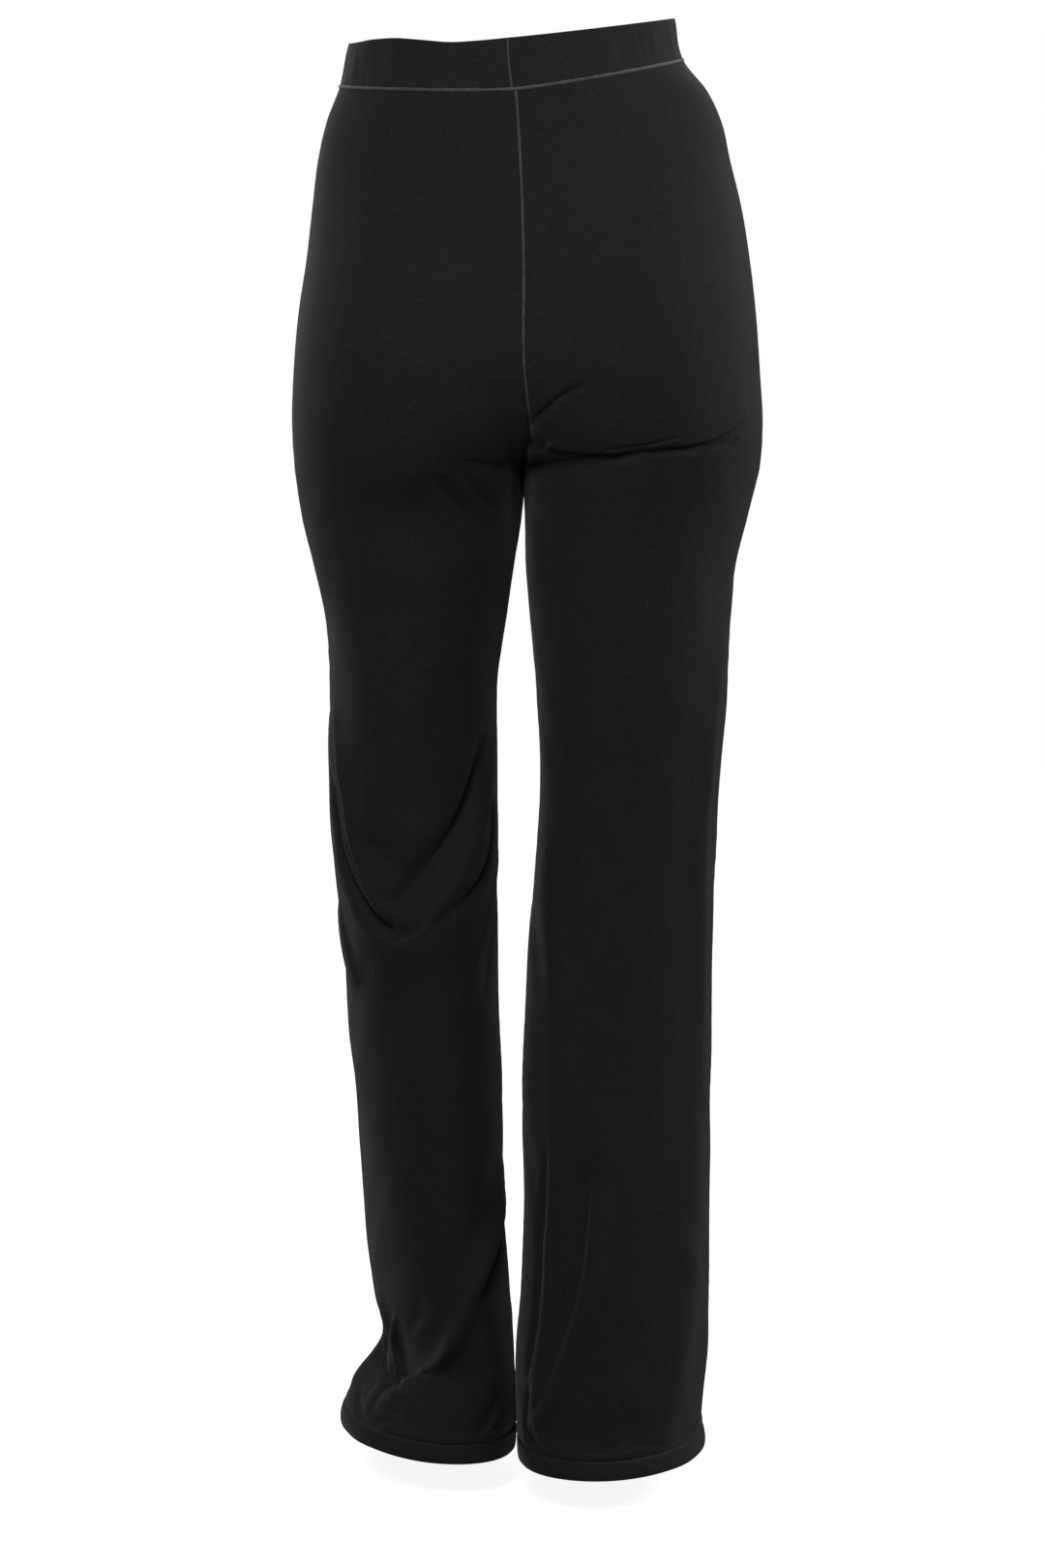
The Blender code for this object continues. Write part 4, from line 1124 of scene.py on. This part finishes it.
def make_centre_seam(seams, material):
    """The centre seam, from the waist at the back under the fork to the waist in front.

    Its path is midway between the two legs' edges, sunk under the seat.
    """
    left, right = seams["left"], seams["right"]
    count = int(np.searchsorted(left["rows"][:, 0], FORK)) + 1
    paths = []
    for column in (0, -1):
        path = (left["grid"][:count, column] + right["grid"][:count, column]) / 2
        out = left["out"][:count, column] + right["out"][:count, column]
        paths.append((path, out / np.linalg.norm(out, axis=1, keepdims=True)))
    (back, back_out), (front, front_out) = paths
    sunk = CENTRE_SEAM_SINK * ease(left["rows"][:count, 0], CENTRE_SEAM_SINKS)
    back = back - back_out * sunk[:, None]
    path = np.concatenate([back, front[::-1]])
    out = np.concatenate([back_out, front_out[::-1]])
    seam = raised_seam("centre_seam", path, out, *CENTRE_SEAM_SIZE, material)
    return seam


def facing(at, towards):
    """The turn of a lamp or camera at one point that faces another."""
    return (Vector(towards) - Vector(at)).to_track_quat("-Z", "Y").to_euler()


def set_light(name, at, towards, power, width):
    """A soft square light that faces a point."""
    lamp = bpy.data.lights.new(name, "AREA")
    lamp.energy, lamp.size = power, width
    made = add_object(name, lamp)
    made.location = at
    made.rotation_euler = facing(at, towards)


def make_studio():
    """A pale floor, an even white surround and soft lights."""
    corners = np.array([(-1, -1), (1, -1), (1, 1), (-1, 1)]) * FLOOR_SIZE / 2
    mesh = bpy.data.meshes.new("floor")
    mesh.from_pydata(np.column_stack([corners, np.full(4, FLOOR_HEIGHT)]).tolist(), [], [(0, 1, 2, 3)])
    floor = add_object("floor", mesh)
    pale, shader = new_material("pale_floor")
    shader.inputs["Base Color"].default_value = (FLOOR_TONE, FLOOR_TONE, FLOOR_TONE, 1.0)
    shader.inputs["Roughness"].default_value = 1.0
    shader.inputs["Specular IOR Level"].default_value = 0.0
    shader.inputs["Emission Color"].default_value = (1.0, 1.0, 1.0, 1.0)
    shader.inputs["Emission Strength"].default_value = FLOOR_GLOW
    mesh.materials.append(pale)
    floor.visible_diffuse = floor.visible_glossy = False

    world = bpy.data.worlds.new("white_surround")
    world.use_nodes = True
    nodes, link = world.node_tree.nodes, world.node_tree.links.new
    seen = nodes.new("ShaderNodeLightPath")
    strength = nodes.new("ShaderNodeMapRange")
    strength.inputs["To Min"].default_value = SURROUND_LIGHT
    strength.inputs["To Max"].default_value = 1.0
    link(seen.outputs["Is Camera Ray"], strength.inputs["Value"])
    link(strength.outputs["Result"], nodes["Background"].inputs["Strength"])
    nodes["Background"].inputs["Color"].default_value = (1.0, 1.0, 1.0, 1.0)
    bpy.context.scene.world = world
    for name, at, towards, power, width in LIGHTS:
        set_light(name, at, towards, power, width)
    bpy.context.scene.view_settings.view_transform = "Standard"


def make_camera():
    """The camera: behind the garment, a little above the waist, looking slightly down."""
    lens = bpy.data.cameras.new("camera")
    lens.lens, lens.sensor_width = LENS, SENSOR
    camera = add_object("camera", lens)
    camera.location = CAMERA_AT
    camera.rotation_euler = facing(CAMERA_AT, CAMERA_TO)
    bpy.context.scene.camera = camera


def main():
    """Makes the materials, the band with its seams, each leg with its hem, and the studio."""
    cloth = jersey("black_jersey", (0.0106, 0.0098, 0.0110), 0.07, 0.80)
    folded = jersey("black_band_jersey", (0.0118, 0.0109, 0.0120), 0.09, 0.84, grain=1.3)
    waist_thread = seam_thread("waist_seam_thread", (0.041, 0.037, 0.031), 0.15)
    seam_cloth = seam_thread("centre_seam_thread", (0.030, 0.028, 0.026), 0.15)
    black_thread = seam_thread("black_thread", (0.006, 0.006, 0.006), 0.03)

    band = make_waistband(folded)
    waist_seam = make_waist_seam(waist_thread)
    band_seam = make_band_seam(seam_cloth)

    seams = {}
    for side in SIDES:
        panels, seams[side] = make_panels(side, cloth)
        hem, sewn = make_hem(side, cloth, black_thread)
        if side == "right":
            centre_seam = make_centre_seam(seams, seam_cloth)

    make_studio()
    make_camera()


main()
